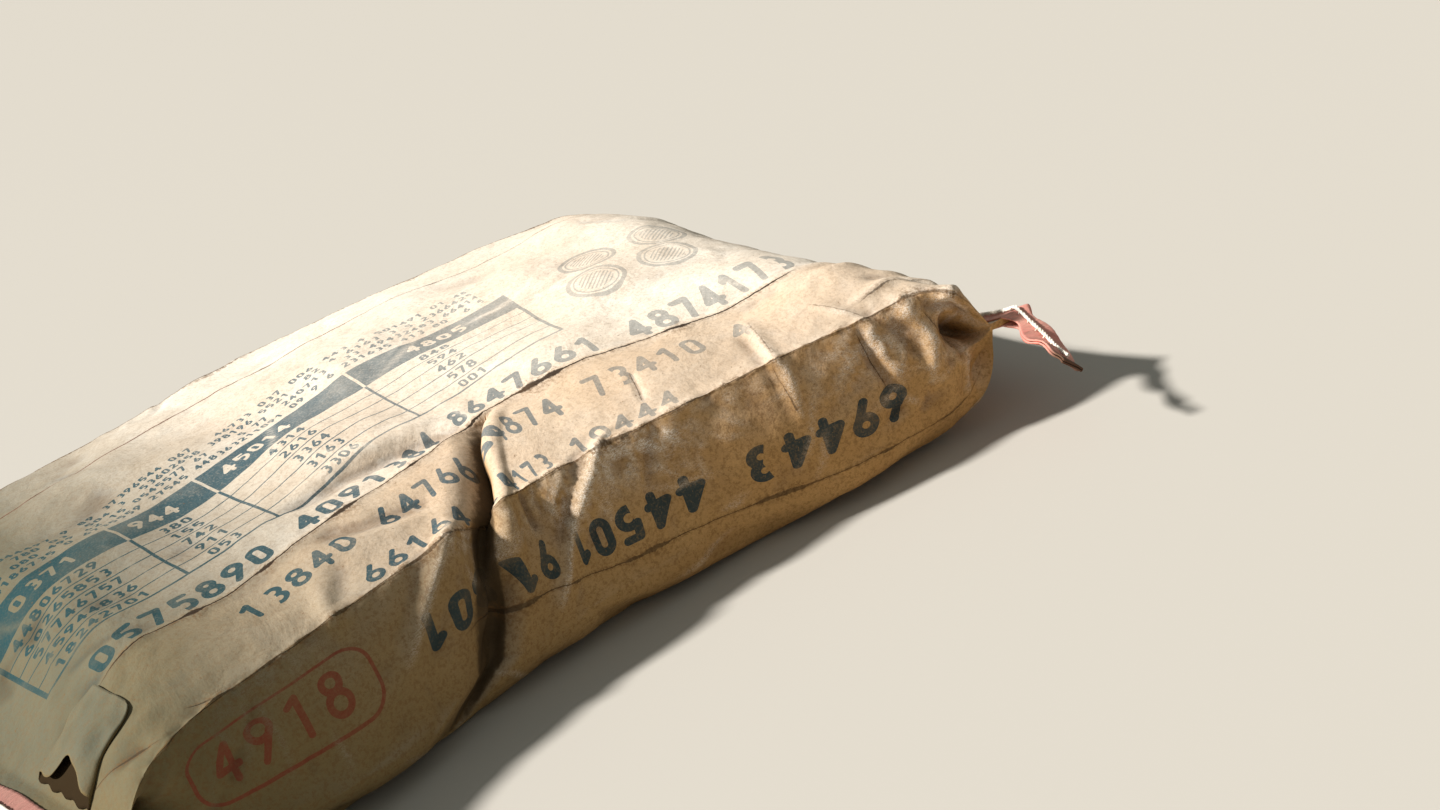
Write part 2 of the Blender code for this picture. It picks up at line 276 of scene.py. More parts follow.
def facingUp(tree):
    # 1 where the surface faces up, below 0 where it faces down
    return splitPlace(addNode(tree, "NewGeometry", {}, "Normal"))[2]


def makeGroup(name, inputs, outputs, formula):
    # a node group of plain values, but for Place, a vector; its formula turns inputs into outputs
    tree = bpy.data.node_groups.new(name, "ShaderNodeTree")
    for keys, side in ((inputs, "INPUT"), (outputs, "OUTPUT")):
        for key in keys.split():
            kind = "NodeSocketVector" if key == "Place" else "NodeSocketFloat"
            tree.interface.new_socket(key, in_out=side, socket_type=kind)
    start, end = tree.nodes.new("NodeGroupInput"), tree.nodes.new("NodeGroupOutput")
    results = formula(*(Wire(tree, start.outputs[key]) for key in inputs.split()))
    for key, wire in zip(outputs.split(), results):
        put(end.inputs[key], wire)
    return tree


def useGroup(group, **sockets):
    # all outputs of a node group, by name
    tree = next(iter(sockets.values())).tree
    node = addNode(tree, "Group", sockets, node_tree=group).out.node
    return {out.name: Wire(tree, out) for out in node.outputs}


def newMaterial(name, paint, *more):
    # paint, a function of the tree, gives what goes into the shader's sockets
    material = bpy.data.materials.new(name)
    material.use_nodes = True
    tree = material.node_tree
    for key, value in paint(tree, *more).items():
        put(tree.nodes["Principled BSDF"].inputs[key], value)
    return material


class Coat:
    # a colour that is painted over layer by layer, with colours of a palette or others
    def __init__(self, palette, colour):
        self.palette, self.colour = palette, colour

    def over(self, share, colour, way="MIX"):
        self.colour = blendColour(share, self.colour, self.palette.get(colour, colour), way)


def grainFormula(place, fine):
    # mottle: cloudy patches; fibre: fine felted strands, mostly along the web; speck: dark bits
    mottle = noiseAt(place, "mottle", fine)
    along, across = stretched(place, (1.0, 3.2, 3.2)), stretched(place, (2.6, 1.0, 2.6))
    fibre = noiseAt(along, "strand", fine) * 0.6 + noiseAt(across, "felt", fine) * 0.4
    return mottle, fibre, noiseAt(place, "speck", fine).between(0.69, 0.76)


def dustFormula(place, up, hollow):
    # cement powder: thickest on what faces up and in hollows, rubbed off the ridges, in clouds
    cloud = noiseAt(place, "cloud").between(0.30, 0.72)
    wisp = noiseAt(place, "wisp").between(0.38, 0.72)
    lying = up.between(0.05, 0.85)
    film = (cloud * 0.20 + wisp * 0.12 + 0.62) * (lying * 0.84 + 0.16) + hollow * 0.5 * wisp
    return [(film * (noiseAt(place, "grit") * 0.5 + 0.75)).clamp()]


def crackFormula(along, across, width, seed):
    # a thin split along a line: open in dashes, frayed at its edges, from the distance to the line
    line = joinPlace(along, seed)
    wander = noiseAt(line, "wander") - 0.5
    dashes = noiseAt(line, "dashes").between(0.50, 0.66)
    ragged = noiseAt(joinPlace(along, across, seed), "ragged")
    gap = abs(across + wander * 0.0055)
    width = width * (dashes * 1.9 + 0.45) * (ragged * 1.3 + 0.35)
    fray = (gap / (width * 4.0 + 0.0008)).between(1.0, 0.25) * ragged.between(0.40, 0.62)
    return (gap / width).between(1.15, 0.55), fray, (gap / (width * 5.0)).between(1.0, 0.2)


def inkFormula(ink, place, grain, wear):
    # ink lies on the high fibres: it fades in clouds, breaks up in the grain and wears off folds
    cloud = noiseAt(place, "inkCloud").between(0.25, 0.75)
    crumb = noiseAt(place, "crumb").between(0.30, 0.55)
    hold = (cloud * 0.20 + 0.86) * (crumb * 0.26 + 0.78) * (grain * 0.3 + 0.86)
    return [(ink * hold * wear.invert()).clamp()]


# plain figures 0 to 9, each 2 high and about 1.2 wide. Four numbers are a line from x, y to x, y;
# three a hoop of x, y and radius; six a hoop of which only the side towards the next two is drawn,
# beyond the last; a single number is the half width of a tall ring
figures = [
    [(0.4,)],
    [(0.08, -0.8, 0.08, 0.8), (0.08, 0.8, -0.3, 0.48)],
    [(0.0, 0.38, 0.42, 0.7, 0.7, -0.12), (0.3, 0.1, -0.4, -0.8), (-0.4, -0.8, 0.42, -0.8)],
    [(0.0, 0.4, 0.4, 1.0, 0.3, -0.12), (0.0, -0.4, 0.4, 1.0, -0.3, -0.12)],
    [(0.2, -0.8, 0.2, 0.8), (0.2, 0.8, -0.45, -0.3), (-0.45, -0.3, 0.45, -0.3)],
    [(0.36, 0.8, -0.3, 0.8), (-0.3, 0.8, -0.36, 0.08), (-0.04, -0.33, 0.47, 1.0, 0.12, -0.2)],
    [(0.0, -0.38, 0.42), (-0.36, -0.2, 0.2, 0.8)],
    [(-0.4, 0.8, 0.4, 0.8), (0.4, 0.8, -0.1, -0.8)],
    [(0.0, 0.43, 0.35), (0.0, -0.38, 0.42)],
    [(0.0, 0.38, 0.42), (0.36, 0.2, -0.2, -0.8)],
]


def stroke(place, ax, ay, bx, by):
    # distance from place to the straight line between a and b
    run = np.array([bx - ax, by - ay])
    offset = vectorMath("SUBTRACT", place, (ax, ay, 0.0))
    share = vectorMath("DOT_PRODUCT", offset, (*(run / (run @ run)), 0.0), 1).clamp()
    foot = addNode(place.tree, "VectorMath", {0: (*run, 0.0), "Scale": share}, operation="SCALE")
    return vectorMath("DISTANCE", offset, foot, 1)


def hoop(place, cx, cy, radius, *keep):
    # distance from place to a circle, of which only the side facing keep is drawn
    ring = abs(vectorMath("DISTANCE", place, (cx, cy, 0.0), 1) - radius)
    if not keep:
        return ring
    x, y, _ = splitPlace(place)
    beyond = (x - cx) * keep[0] + (y - cy) * keep[1]
    return ring + (beyond < keep[2]) * 9.0


def markAway(place, mark):
    # distance from place to one mark of the table above
    if len(mark) == 1:
        return abs(stroke(place, 0.0, -mark[0], 0.0, mark[0]) - mark[0])
    return stroke(place, *mark) if len(mark) == 4 else hoop(place, *mark)


def numeralFormula(x, y, figure, weight):
    # ink where the nearest mark of the chosen figure is closer than the weight
    place = joinPlace(x, y)
    inks = []
    for number, marks in enumerate(figures):
        nearest = functools.reduce(Wire.least, [markAway(place, mark) for mark in marks])
        inks.append((nearest < weight) * figure.math("COMPARE", float(number), 0.3))
    return [total(inks).clamp()]


grainGroup = makeGroup("paperGrain", "Place Fineness", "Mottle Fibre Speck", grainFormula)
dustGroup = makeGroup("cementDust", "Place Up Hollow", "Film", dustFormula)
crackGroup = makeGroup("paperCrack", "Along Across Width Seed", "Split Fray Rise", crackFormula)
numeralGroup = makeGroup("plainNumerals", "X Y Figure Weight", "Ink", numeralFormula)
inkGroup = makeGroup("wornInk", "Ink Place Grain Wear", "Cover", inkFormula)
print("shader groups made")


# the sack's skin: s runs along it from the near end at -X to the far end at +X, and v round it:
# 0 to 1 on the top panel, 1 to 2 on the camera side, 2 to 3 below, 3 to 4 on the back

sack = dict(
    length=0.744, topEdgeHalf=0.201, topEdgeHeight=0.112, backEdgeHeight=0.119, crown=0.138,
    crownShape=2.5, gussetHalf=0.217, gussetHeight=0.032, bottomEdgeHalf=0.198,
    bottomEdgeHeight=0.007, bottomShape=7.0, bulge=0.005,
    seamHalf=0.214, seamThickness=0.0046, seamFlat=0.031, earShape=2.5, lying=0.0003,
    farSeam=0.032, farEar=0.038, farBackEar=-0.021, farTaper=0.052, farBackTaper=0.150,
    farCorner=0.150, fall=3.0, backFall=2.9,
    nearSeam=0.086, nearEar=-0.012, nearTaper=0.090, nearFall=5,
    pocket=0.095, pocketLength=0.045, pocketClosing=6, pocketPlace=0.21, pocketWidth=0.10,
    pocketFold=0.30, bend=math.radians(16.0), bendPlace=-0.004, bendSpread=0.050,
)
swells = dict(height=0.0017, waves=[(0.190, 0.330), (0.135, -0.210)], edgeHold=4,
              hollow=0.005, hollowAt=(-0.055, -0.098), hollowReach=(0.042, 0.020))
buckle = dict(
    place=-0.059, slant=-0.95, sideSlant=-0.75, depth=0.021, left=0.024, right=0.0085,
    topReach=0.088, sideReach=0.100, rounding=0.050, leanReach=0.250, widening=0.05,
    lip=0.0040, lips=[(1.0, 0.016, 0.007), (0.6, -0.034, 0.014)],   # share, place and width
    overhang=0.0060, overPlace=0.010, overWidth=0.006, cusp=0.010, cuspShare=0.55,
    # the band of painted shade in the valley: its width, wider on the top panel, and the place and run of
    # its crisp edge
    bandWidth=0.017, bandWide=1.75, bandEdge=0.012, bandCrisp=0.004,
)
halfLength, halfSeam = sack["length"] / 2, sack["seamThickness"] / 2
upperGusset = math.hypot(sack["gussetHalf"] - sack["topEdgeHalf"],
                         sack["topEdgeHeight"] - sack["gussetHeight"])
lowerGusset = math.hypot(sack["gussetHalf"] - sack["bottomEdgeHalf"],
                         sack["gussetHeight"] - sack["bottomEdgeHeight"])
topWidth = 2.0 * sack["topEdgeHalf"]
turns = [0.0, 1.0, 1.5, 2.0, 3.0, 3.5, 4.0]
ways = np.cumsum([-topWidth, topWidth, upperGusset, lowerGusset, 2 * sack["bottomEdgeHalf"],
                  lowerGusset, upperGusset])
girth = ways[-1] - ways[0]


def wayAt(v):
    # distance round the sack from the -Y top edge, below 0 on the top panel
    return np.interp(v, turns, ways)


def wayFrom(way, start):
    # the shorter way round from start, below 0 backwards
    return (way - start + girth / 2) % girth - girth / 2


def endShare(s, side, length):
    # 0 on the body, 1 where the seam starts at that side's end
    return np.clip((side * s - (halfLength - sack["seamFlat"] - length)) / length, 0.0, 1.0)


def seamLevel(side, y):
    # height of a seam's middle: level in the middle, rising or falling to its ears
    away = np.clip(np.abs(y) / sack["seamHalf"], 0.0, 1.0) ** sack["earShape"]
    far = sack["farSeam"] + np.where(y < 0.0, sack["farEar"], sack["farBackEar"]) * away
    near = sack["nearSeam"] + sack["nearEar"] * away
    return np.where(np.asarray(side) > 0.0, far, near)


def wayDown(v):
    # the CAD's own measure round the sack from the -Y top edge
    side = sack["topEdgeHeight"] - sack["bottomEdgeHeight"]
    return (v - 1.0) * np.where(v < 1.0, topWidth, side)


def swell(s, v):
    # two crossing waves over the fill's lumps, and one hollow on the top panel
    way = wayDown(v)
    wave = sum(np.sin(2.0 * np.pi * (s / length + way / width)) for length, width in swells["waves"])
    hollow = spot(s, way, swells["hollowAt"], swells["hollowReach"])
    return swells["height"] * wave - swells["hollow"] * hollow


def sackSection(s, v):
    # four panels of the full section, the whole of which flattens towards the seam at each end
    far, near = endShare(s, 1.0, sack["farTaper"]), endShare(s, -1.0, sack["nearTaper"])
    pocket = endShare(np.abs(s), 1.0, sack["pocketLength"])
    tuck = sack["pocket"] * pocket**2 * (1.0 - pocket ** sack["pocketClosing"])
    edges = [sack[key] for key in ("topEdgeHalf", "gussetHalf", "bottomEdgeHalf")]
    topY, gussetY, bottomY = (mix(edge, sack["seamHalf"], ease(far) + ease(near)) for edge in edges)
    panel = np.clip(np.floor(v), 0, 3)
    w = v - panel
    across = 1.0 - 2.0 * w
    edge = np.abs(across)
    down = np.where(panel == 1, w, 1.0 - w)
    upper = down < 0.5
    part = np.where(upper, 2.0 * down, 2.0 * down - 1.0)
    bulge = sack["bulge"] * (1.0 - ease(far + near)) * 4.0 * part * (1.0 - part)
    sideY = np.where(upper, mix(topY, gussetY, part), mix(gussetY, bottomY, part)) + bulge
    tucked = bell((down - sack["pocketPlace"]) / sack["pocketWidth"])
    sideY = sideY - tuck * np.maximum(tucked, sack["pocketFold"] * tent(2.0 * down - 1.0))
    flatY = np.where(panel == 0, topY, -bottomY) * across
    lump = swell(s, v) * (1.0 - edge ** swells["edgeHold"]) * (1.0 - ease(far + near))
    y = np.where(panel % 2 == 0, flatY, np.where(panel == 1, -1.0, 1.0) * (sideY + lump))
    sloping = np.where(panel == 0, ease(0.5 + 0.5 * across), panel == 3)
    edgeHeight = mix(sack["topEdgeHeight"], sack["backEdgeHeight"], sloping)
    topZ = mix(edgeHeight, sack["crown"], 1.0 - edge ** sack["crownShape"]) + lump
    baseZ = sack["bottomEdgeHeight"] * edge ** sack["bottomShape"]
    level = seamLevel(s, y)
    backward = ease((y + sack["seamHalf"]) / sack["farCorner"])
    high = endShare(s, 1.0, mix(sack["farTaper"], sack["farBackTaper"], backward))
    farFall = high ** mix(sack["fall"], sack["backFall"], backward)
    nearFall = near ** sack["nearFall"]
    crownFall = mix(blunt(high), farFall, np.maximum(edge**2, backward))
    crownFall = crownFall + mix(ease(near), nearFall, edge**2)
    baseRise = blunt(far) + blunt(near)
    overZ = mix(topZ, level + halfSeam, crownFall)
    underZ = mix(baseZ, level - halfSeam, baseRise)
    foldZ = mix(sack["gussetHeight"], level, baseRise)
    highZ = mix(edgeHeight, level + halfSeam, farFall + nearFall)
    lowZ = mix(sack["bottomEdgeHeight"], level - halfSeam, baseRise)
    sideZ = np.where(upper, mix(highZ, foldZ, part), mix(foldZ, lowZ, part))
    return y, np.where(panel == 0, overZ, np.where(panel == 2, underZ, sideZ))


def bendAll(s, y, z):
    # turns the straight sack into the one that is bent in plan, about a smooth corner
    turn = (s - sack["bendPlace"]) / sack["bendSpread"]
    heading = -0.5 * sack["bend"] * np.tanh(turn)
    start = math.log(math.cosh(sack["bendPlace"] / sack["bendSpread"]))
    shift = -0.5 * sack["bend"] * sack["bendSpread"] * (np.log(np.cosh(turn)) - start)
    return np.stack([s - np.sin(heading) * y, shift + np.cos(heading) * y, z], axis=-1)


def leaning(s, v):
    # near the buckle a ring leans, so that it runs along the buckle's valley
    knots = [wayDown(0.0), -buckle["topReach"], 0.0, buckle["sideReach"], wayDown(3.0)]
    topLean, sideLean = -buckle["slant"] * buckle["topReach"], buckle["sideSlant"] * buckle["sideReach"]
    lean = np.interp(wayDown(v), knots, [0.0, topLean, 0.0, sideLean, 0.0])
    return s + lean * ease(1.0 - np.abs(s - buckle["place"]) / buckle["leanReach"])


def acrossBuckle(s, v):
    # way round, distance from the valley's slanting line, and 1 on the edge to 0 at both its ends
    way = wayDown(v)
    reach = np.where(way < 0.0, buckle["topReach"], buckle["sideReach"])
    slant = np.where(way < 0.0, buckle["slant"], buckle["sideSlant"])
    return way, s - buckle["place"] - slant * way, 1.0 - blunt(np.abs(way) / reach)


def buckleShift(s, v):
    # a slanted valley over the top edge: gentle on its -X side, steep and overhanging on the other
    way, away, fade = acrossBuckle(s, v)
    wide = np.where(away < 0.0, buckle["left"], buckle["right"])
    wide = wide * (1.0 + 0.5 * ease(way / buckle["widening"]))
    sharp = np.exp(np.minimum(away, 0.0) / buckle["cusp"])
    push = buckle["depth"] * fade * mix(bell(away / wide), sharp, buckle["cuspShare"] * (away < 0.0))
    lips = sum(share * bell((away - at) / size) for share, at, size in buckle["lips"])
    rise = buckle["lip"] * fade * lips - push
    turn = 0.5 * np.pi * ease(0.5 + way / buckle["rounding"])
    over = -buckle["overhang"] * fade * bell((away - buckle["overPlace"]) / buckle["overWidth"])
    return over, -rise * np.sin(turn), rise * np.cos(turn)


def valleyShade(s, v):
    # painted shade: the dark brown band in the buckle's valley, 0 to 1: soft on its -X side, crisp at the
    # other
    way, away, fade = acrossBuckle(s, v)
    onSide = 1.0 + 0.6 * ease(way / buckle["widening"])
    wide = buckle["bandWidth"] * mix(buckle["bandWide"], onSide, ease((way + 0.012) / 0.020))
    crisp = ease((buckle["bandEdge"] - away) / buckle["bandCrisp"])
    return ease((away + wide) / (0.75 * wide)) * crisp * np.sqrt(fade)


def skinAt(s, v):
    # the section, pushed in and up by the buckle, then bent in plan
    y, z = sackSection(s, v)
    along, inward, lift = buckleShift(s, v)
    return bendAll(s + along, y + inward, z + lift)


# how the flat printed tube lies on the fill: it went askew as the sack was filled

lie = dict(
    start=-0.21, tilt=0.1375, blend=0.030, fullDepth=0.17, growth=1.3, backEase=0.12, edgeEase=0.030,
    bow=0.008, bowAt=(0.035, 0.080), bowReach=(0.045, 0.045),
    farRise=0.016, riseStart=0.08, riseRun=0.18, riseDepth=0.080, riseReach=0.060,
    sideSlope=0.055, sideEnd=0.140, sideEase=0.040,
)
creaseWay = -0.070                                 # the long crease of the top panel, on the flat tube


def slipped(s, way):
    # way round the flat tube: the skin's way, with a tilt that grows with depth, a bow at the buckle's
    # head and a rise to the far end on the top panel, and a slope on the side
    depth = np.clip(-way, 0.0, None)
    share = np.clip(depth / lie["fullDepth"], 0.0, 1.0) ** lie["growth"]
    share = share * ease((topWidth - depth) / lie["backEase"])
    tilt = lie["tilt"] * (np.hypot(s - lie["start"], lie["blend"]) - lie["blend"]) * share
    bow = lie["bow"] * spot(s, depth, lie["bowAt"], lie["bowReach"])
    rise = lie["farRise"] * ease((s - lie["riseStart"]) / lie["riseRun"])
    rise = rise * bell((depth - lie["riseDepth"]) / lie["riseReach"])
    slope = lie["sideSlope"] * s * ease(way / lie["edgeEase"])
    slope = slope * ease((lie["sideEnd"] - way) / lie["sideEase"])
    return way + tilt + (bow - rise) * ease(depth / lie["edgeEase"]) - slope


# grids over the skin: peaks are (extra density, place, reach)

sidePeaks = [(1.2, 0.0, 0.08), (0.8, 0.5, 0.05), (0.8, 1.0, 0.08)]
mesh = dict(
    rings=304, along=[(1.0, buckle["place"], 0.05), (1.0, 0.322, 0.035), (1.0, -0.322, 0.035)],
    # for each panel: steps, peaks, and where the seen part starts, which is denser
    panels=[(150, [(1.6, 1.0, 0.03), (0.8, 0.0, 0.03)], 0.72), (58, sidePeaks),
            (58, [(1.5, 0.0, 0.04), (1.5, 1.0, 0.04)]), (46, sidePeaks)],
    seen=0.8, samples=2001,
)


def warpedSteps(low, high, count, peaks, seenFrom=9.0):
    # steps from low to high, closer together at the peaks and beyond seenFrom
    place = np.linspace(low, high, mesh["samples"])
    weight = 1.0 + mesh["seen"] * (place > seenFrom)
    for extra, at, reach in peaks:
        weight = weight + extra * bell((place - at) / reach)
    run = np.concatenate([[0.0], np.cumsum(0.5 * (weight[1:] + weight[:-1]))])
    return np.interp(np.linspace(0.0, run[-1], count + 1), run, place)


def addRings(name, grids, materials=(), capped=True):
    # one mesh from grids of closed rings: a quad for each step, and both ends capped
    points, faces, caps, base = [], [], [], 0
    for grid in grids:
        rows, columns = grid.shape[:2]
        i, j = np.meshgrid(np.arange(rows - 1), np.arange(columns), indexing="ij")
        k = (j + 1) % columns
        quads = [i * columns + j, (i + 1) * columns + j, (i + 1) * columns + k, i * columns + k]
        faces += (np.stack(quads, -1).reshape(-1, 4) + base).tolist()
        ring = base + np.arange(columns)
        caps += [ring.tolist(), (ring + (rows - 1) * columns)[::-1].tolist()]
        points.append(grid.reshape(-1, 3))
        base += rows * columns
    data = bpy.data.meshes.new(name)
    data.from_pydata(np.concatenate(points).tolist(), [], faces + caps if capped else faces)
    data.polygons.foreach_set("use_smooth", np.ones(len(data.polygons), bool))
    for material in materials:
        data.materials.append(material)
    return linked(name, data)


def turnOut(obj):
    # faces of a closed mesh turned outwards
    data = obj.data
    data.calc_loop_triangles()
    co = np.empty(len(data.vertices) * 3, np.float32)
    data.vertices.foreach_get("co", co)
    tris = np.empty(len(data.loop_triangles) * 3, np.int32)
    data.loop_triangles.foreach_get("vertices", tris)
    corners = co.reshape(-1, 3)[tris.reshape(-1, 3)]
    if np.linalg.det(corners.astype(float)).sum() < 0:
        data.flip_normals()
    return obj


def fill(target, key, values, kind=np.float32):
    # whole arrays into Blender's data
    target.foreach_set(key, np.asarray(values).astype(kind).ravel())


def gridNormals(points):
    # outward unit normals of a closed ring grid
    around = np.roll(points, -1, axis=1) - np.roll(points, 1, axis=1)
    normal = unit(np.cross(np.gradient(points, axis=0), around))
    outward = points - points.mean(axis=1, keepdims=True)
    return normal * np.sign((normal * outward).sum())


def spreadOver(coarse, rows, columns):
    # carries a coarse grid of offsets to a fine one: cubic along and round, closed round
    def weights(few, many, closed):
        at = np.linspace(0, few if closed else few - 1, many, endpoint=not closed)
        base = np.floor(at).astype(int)
        t = at - base
        kernel = [(-t + 2 * t**2 - t**3) / 2, (2 - 5 * t**2 + 3 * t**3) / 2,
                  (t + 4 * t**2 - 3 * t**3) / 2, (t**3 - t**2) / 2]
        table = np.zeros((many, few))
        for step, share in zip(range(-1, 3), kernel):
            index = (base + step) % few if closed else np.clip(base + step, 0, few - 1)
            np.add.at(table, (np.arange(many), index), share)
        return table
    along, around = weights(coarse.shape[0], rows, False), weights(coarse.shape[1], columns, True)
    return np.einsum("ai,bj,ijk->abk", along, around, coarse, optimize=True)


settle = dict(
    thin=3, frames=20, cap=0.0055, heldRings=6, heldHeight=0.004, freeFrom=0.030, freeRun=0.150,
    cloth=dict(quality=6, mass=0.15, tension_stiffness=60.0, compression_stiffness=60.0,
               shear_stiffness=30.0, bending_stiffness=8.0, tension_damping=12.0,
               compression_damping=12.0, shear_damping=12.0, use_pressure=True,
               uniform_pressure_force=4.0, shrink_min=-0.012, vertex_group_mass="held",
               pin_stiffness=1.0),
)


def settlePaper(points):
    # cloth simulation: the paper, a little too large for its fill, is blown up and buckles softly
    obj = addRings("settling", [points], capped=False)
    row = np.arange(len(points))[:, None]
    atEnd = (row < settle["heldRings"]) | (row >= len(points) - settle["heldRings"])
    held = np.flatnonzero(atEnd | (points[..., 2] < settle["heldHeight"]))
    obj.vertex_groups.new(name="held").add(held.tolist(), 1.0, "REPLACE")
    paper = obj.modifiers.new("paper", "CLOTH")
    for key, value in settle["cloth"].items():
        setattr(paper.settings, key, value)
    paper.settings.effector_weights.gravity = 0.0
    paper.collision_settings.use_collision = False
    paper.point_cache.frame_start, paper.point_cache.frame_end = 1, settle["frames"]
    scene = bpy.context.scene
    for number in range(1, settle["frames"] + 1):
        scene.frame_set(number)
    posed = obj.evaluated_get(bpy.context.evaluated_depsgraph_get()).data
    moved = np.empty(len(posed.vertices) * 3, np.float32)
    posed.vertices.foreach_get("co", moved)
    scene.frame_set(1)
    bpy.data.objects.remove(obj, do_unlink=True)
    offset = moved.reshape(points.shape).astype(float) - points
    size = np.linalg.norm(offset, axis=-1, keepdims=True)
    return offset * np.tanh(size / settle["cap"]) * settle["cap"] / np.maximum(size, 1e-9)


# folds of the paper, in millimetres on the unrolled sack: rise, spread, how worn its ridge is from
# 0 to 1, then its line's points, each s and way, from one end to the other
folds = [
    # the ridges that run down the side from the buckle, and the flats between them
    (5.0, 10, 0.8, -88, -6, -117, 13, -134, 26, -160, 48),
    (6.6, 11, 1.0, 82, -12, 43, 16, 10, 37, -20, 57, -46, 73),
    (-5.0, 13, 0.0, 58, 0, 22, 22, -4, 40),
    (-3.4, 5, 0.2, -26, 0, -31, 24),
    (3.2, 6, 0.6, -50, 12, -72, 36, -96, 62),
    (-3.6, 9, 0.0, -62, 34, -82, 60, -112, 84),
    (-2.2, 7, 0.2, 108, -2, 94, 20, 84, 40),
    # the shallow troughs that end at the long crease
    (-5.2, 11, 0.0, 6, -88, -44, -100, -85, -108, -130, -112),
    (2.6, 10, 0.0, -10, -112, -60, -118, -110, -124),
    (-3.8, 11, 0.0, -78, -40, -116, -50, -140, -64),
    (2.0, 9, 0.0, -94, -26, -130, -40, -160, -56),
    # folds across the sack towards the far end
    (2.8, 5.5, 1.0, 203, -50, 196, 0, 200, 7, 197, 40),
    (-1.6, 5, 0.0, 192, -44, 188, 0, 190, 34),
    (-3.0, 4, 0.3, 256, 6, 256, 29, 264, 50),
    (2.2, 6, 0.8, 262, 4, 264, 26, 272, 46),
    (1.8, 5, 0.5, 243, -30, 263, 4),
    (2.4, 6, 0.5, 264, -14, 300, -21, 326, -20),
    (3.6, 8, 0.8, 290, 6, 300, 30, 290, 60),
    (-3.0, 7, 0.0, 278, 10, 286, 36),
    (-3.0, 6, 0.2, 312, 4, 318, 30, 326, 70),
    (2.0, 8, 0.3, 268, -52, 330, -60),
    (5.5, 6, 1.0, 312, 6, 322, -2, 338, -4),
    (-4.2, 6, 0.0, 302, -22, 318, -14, 334, -16),
    (-4.0, 5, 0.0, 304, 10, 316, 14, 334, 12),
    (2.6, 7, 0.4, 296, -34, 336, -40),
    (3.4, 6, 0.7, 322, 30, 326, 62, 318, 92),
    (-2.0, 3, 0.9, 119, -50, 112, -22),
    # flats at the near end
    (2.6, 10, 0.3, -171, -30, -184, 6),
    (-2.0, 9, 0.1, -150, -36, -173, -4),
    (-3.4, 8, 0.2, -305, -8, -333, -36),
    (4.0, 9, 0.5, -300, 0, -318, 35, -322, 70),
    (-2.2, 10, 0.0, -246, -82, -300, -112),
    (-2.0, 11, 0.0, -236, 6, -262, 30, -300, 60),
]

# random folds by region: count, rise, and limits of s, way, length and spread
crumples = [
    (34, 0.0010, (-0.30, 0.30), (0.004, 0.100), (0.012, 0.045), (0.003, 0.008)),
    (54, 0.0011, (-0.10, 0.16), (-0.006, 0.040), (0.006, 0.022), (0.002, 0.006)),
    (60, 0.0017, (0.25, 0.34), (-0.030, 0.070), (0.008, 0.028), (0.002, 0.007)),
    (34, 0.0013, (-0.33, -0.25), (-0.360, 0.080), (0.014, 0.050), (0.004, 0.010)),
    (30, 0.0011, (0.22, 0.33), (-0.400, -0.060), (0.014, 0.050), (0.004, 0.010)),
    (18, 0.0006, (-0.28, 0.28), (-0.380, -0.090), (0.030, 0.090), (0.006, 0.014)),
    (46, 0.0014, (-0.32, 0.32), (0.510, 0.640), (0.012, 0.050), (0.003, 0.009)),
    (30, 0.0006, (-0.32, 0.32), (0.120, 0.500), (0.020, 0.070), (0.004, 0.010)),
]

# forms of the paper between its folds: rises, places (s, way), reaches, and noises by rise, size, seed
forms = dict(
    strip=0.0030, lip=0.0013, lipReach=0.006,
    flat=0.0042, flatAt=(0.030, 0.012), flatReach=(0.034, 0.018),
    spots=[(-0.0018, (0.078, -0.005), (0.006, 0.006)),       # the pit beside the buckle
           (0.0068, (0.286, -0.130), (0.036, 0.048))],       # the full shoulder by the seam
    noises=[(0.0010, 0.085, 3), (0.0004, 0.040, 4), (0.0002, 0.018, 5)],
    gather=(0.0022, 0.026, 6), gatherReach=0.050, fray=(0.0005, 0.009, 7), frayReach=0.004,
    lyingHeight=0.012, lyingShare=0.05, wornWidth=0.0024, crumpleWorn=0.0020,
)


def nearLine(s, way, line):
    # distance to a bent line on the unrolled sack, signed, and the share of the way along it
    whole = sum(math.dist(a, b) for a, b in zip(line, line[1:]))
    best, signed, share, done = np.full(s.shape, 9.0), np.zeros(s.shape), np.zeros(s.shape), 0.0
    for a, b in zip(line, line[1:]):
        run, size = b - a, math.dist(a, b)
        ds, dw = s - a[0], wayFrom(way, a[1])
        t = np.clip((ds * run[0] + dw * run[1]) / size**2, 0.0, 1.0)
        away = np.hypot(ds - t * run[0], dw - t * run[1])
        nearer = away < best
        best = np.where(nearer, away, best)
        signed = np.where(nearer, (ds * run[1] - dw * run[0]) / size, signed)
        share = np.where(nearer, (done + t * size) / whole, share)
        done += size
    return best, signed, share


def foldRelief(s, way, fold):
    # a straight-sided ridge or valley that dies out towards both ends of its line
    rise, spread, worn, *line = fold
    away, signed, share = nearLine(s, way, np.reshape(line, (-1, 2)) * mm)
    fade = np.sqrt(np.clip(4.0 * share * (1.0 - share), 0.0, 1.0))
    reach = spread * mm * (1.0 + 0.6 * (signed > 0.0))
    shape = tent(away / reach) ** 1.3 * mix(0.35, 1.0, fade)
    return rise * mm * shape, worn * bell(away / forms["wornWidth"]) * fade


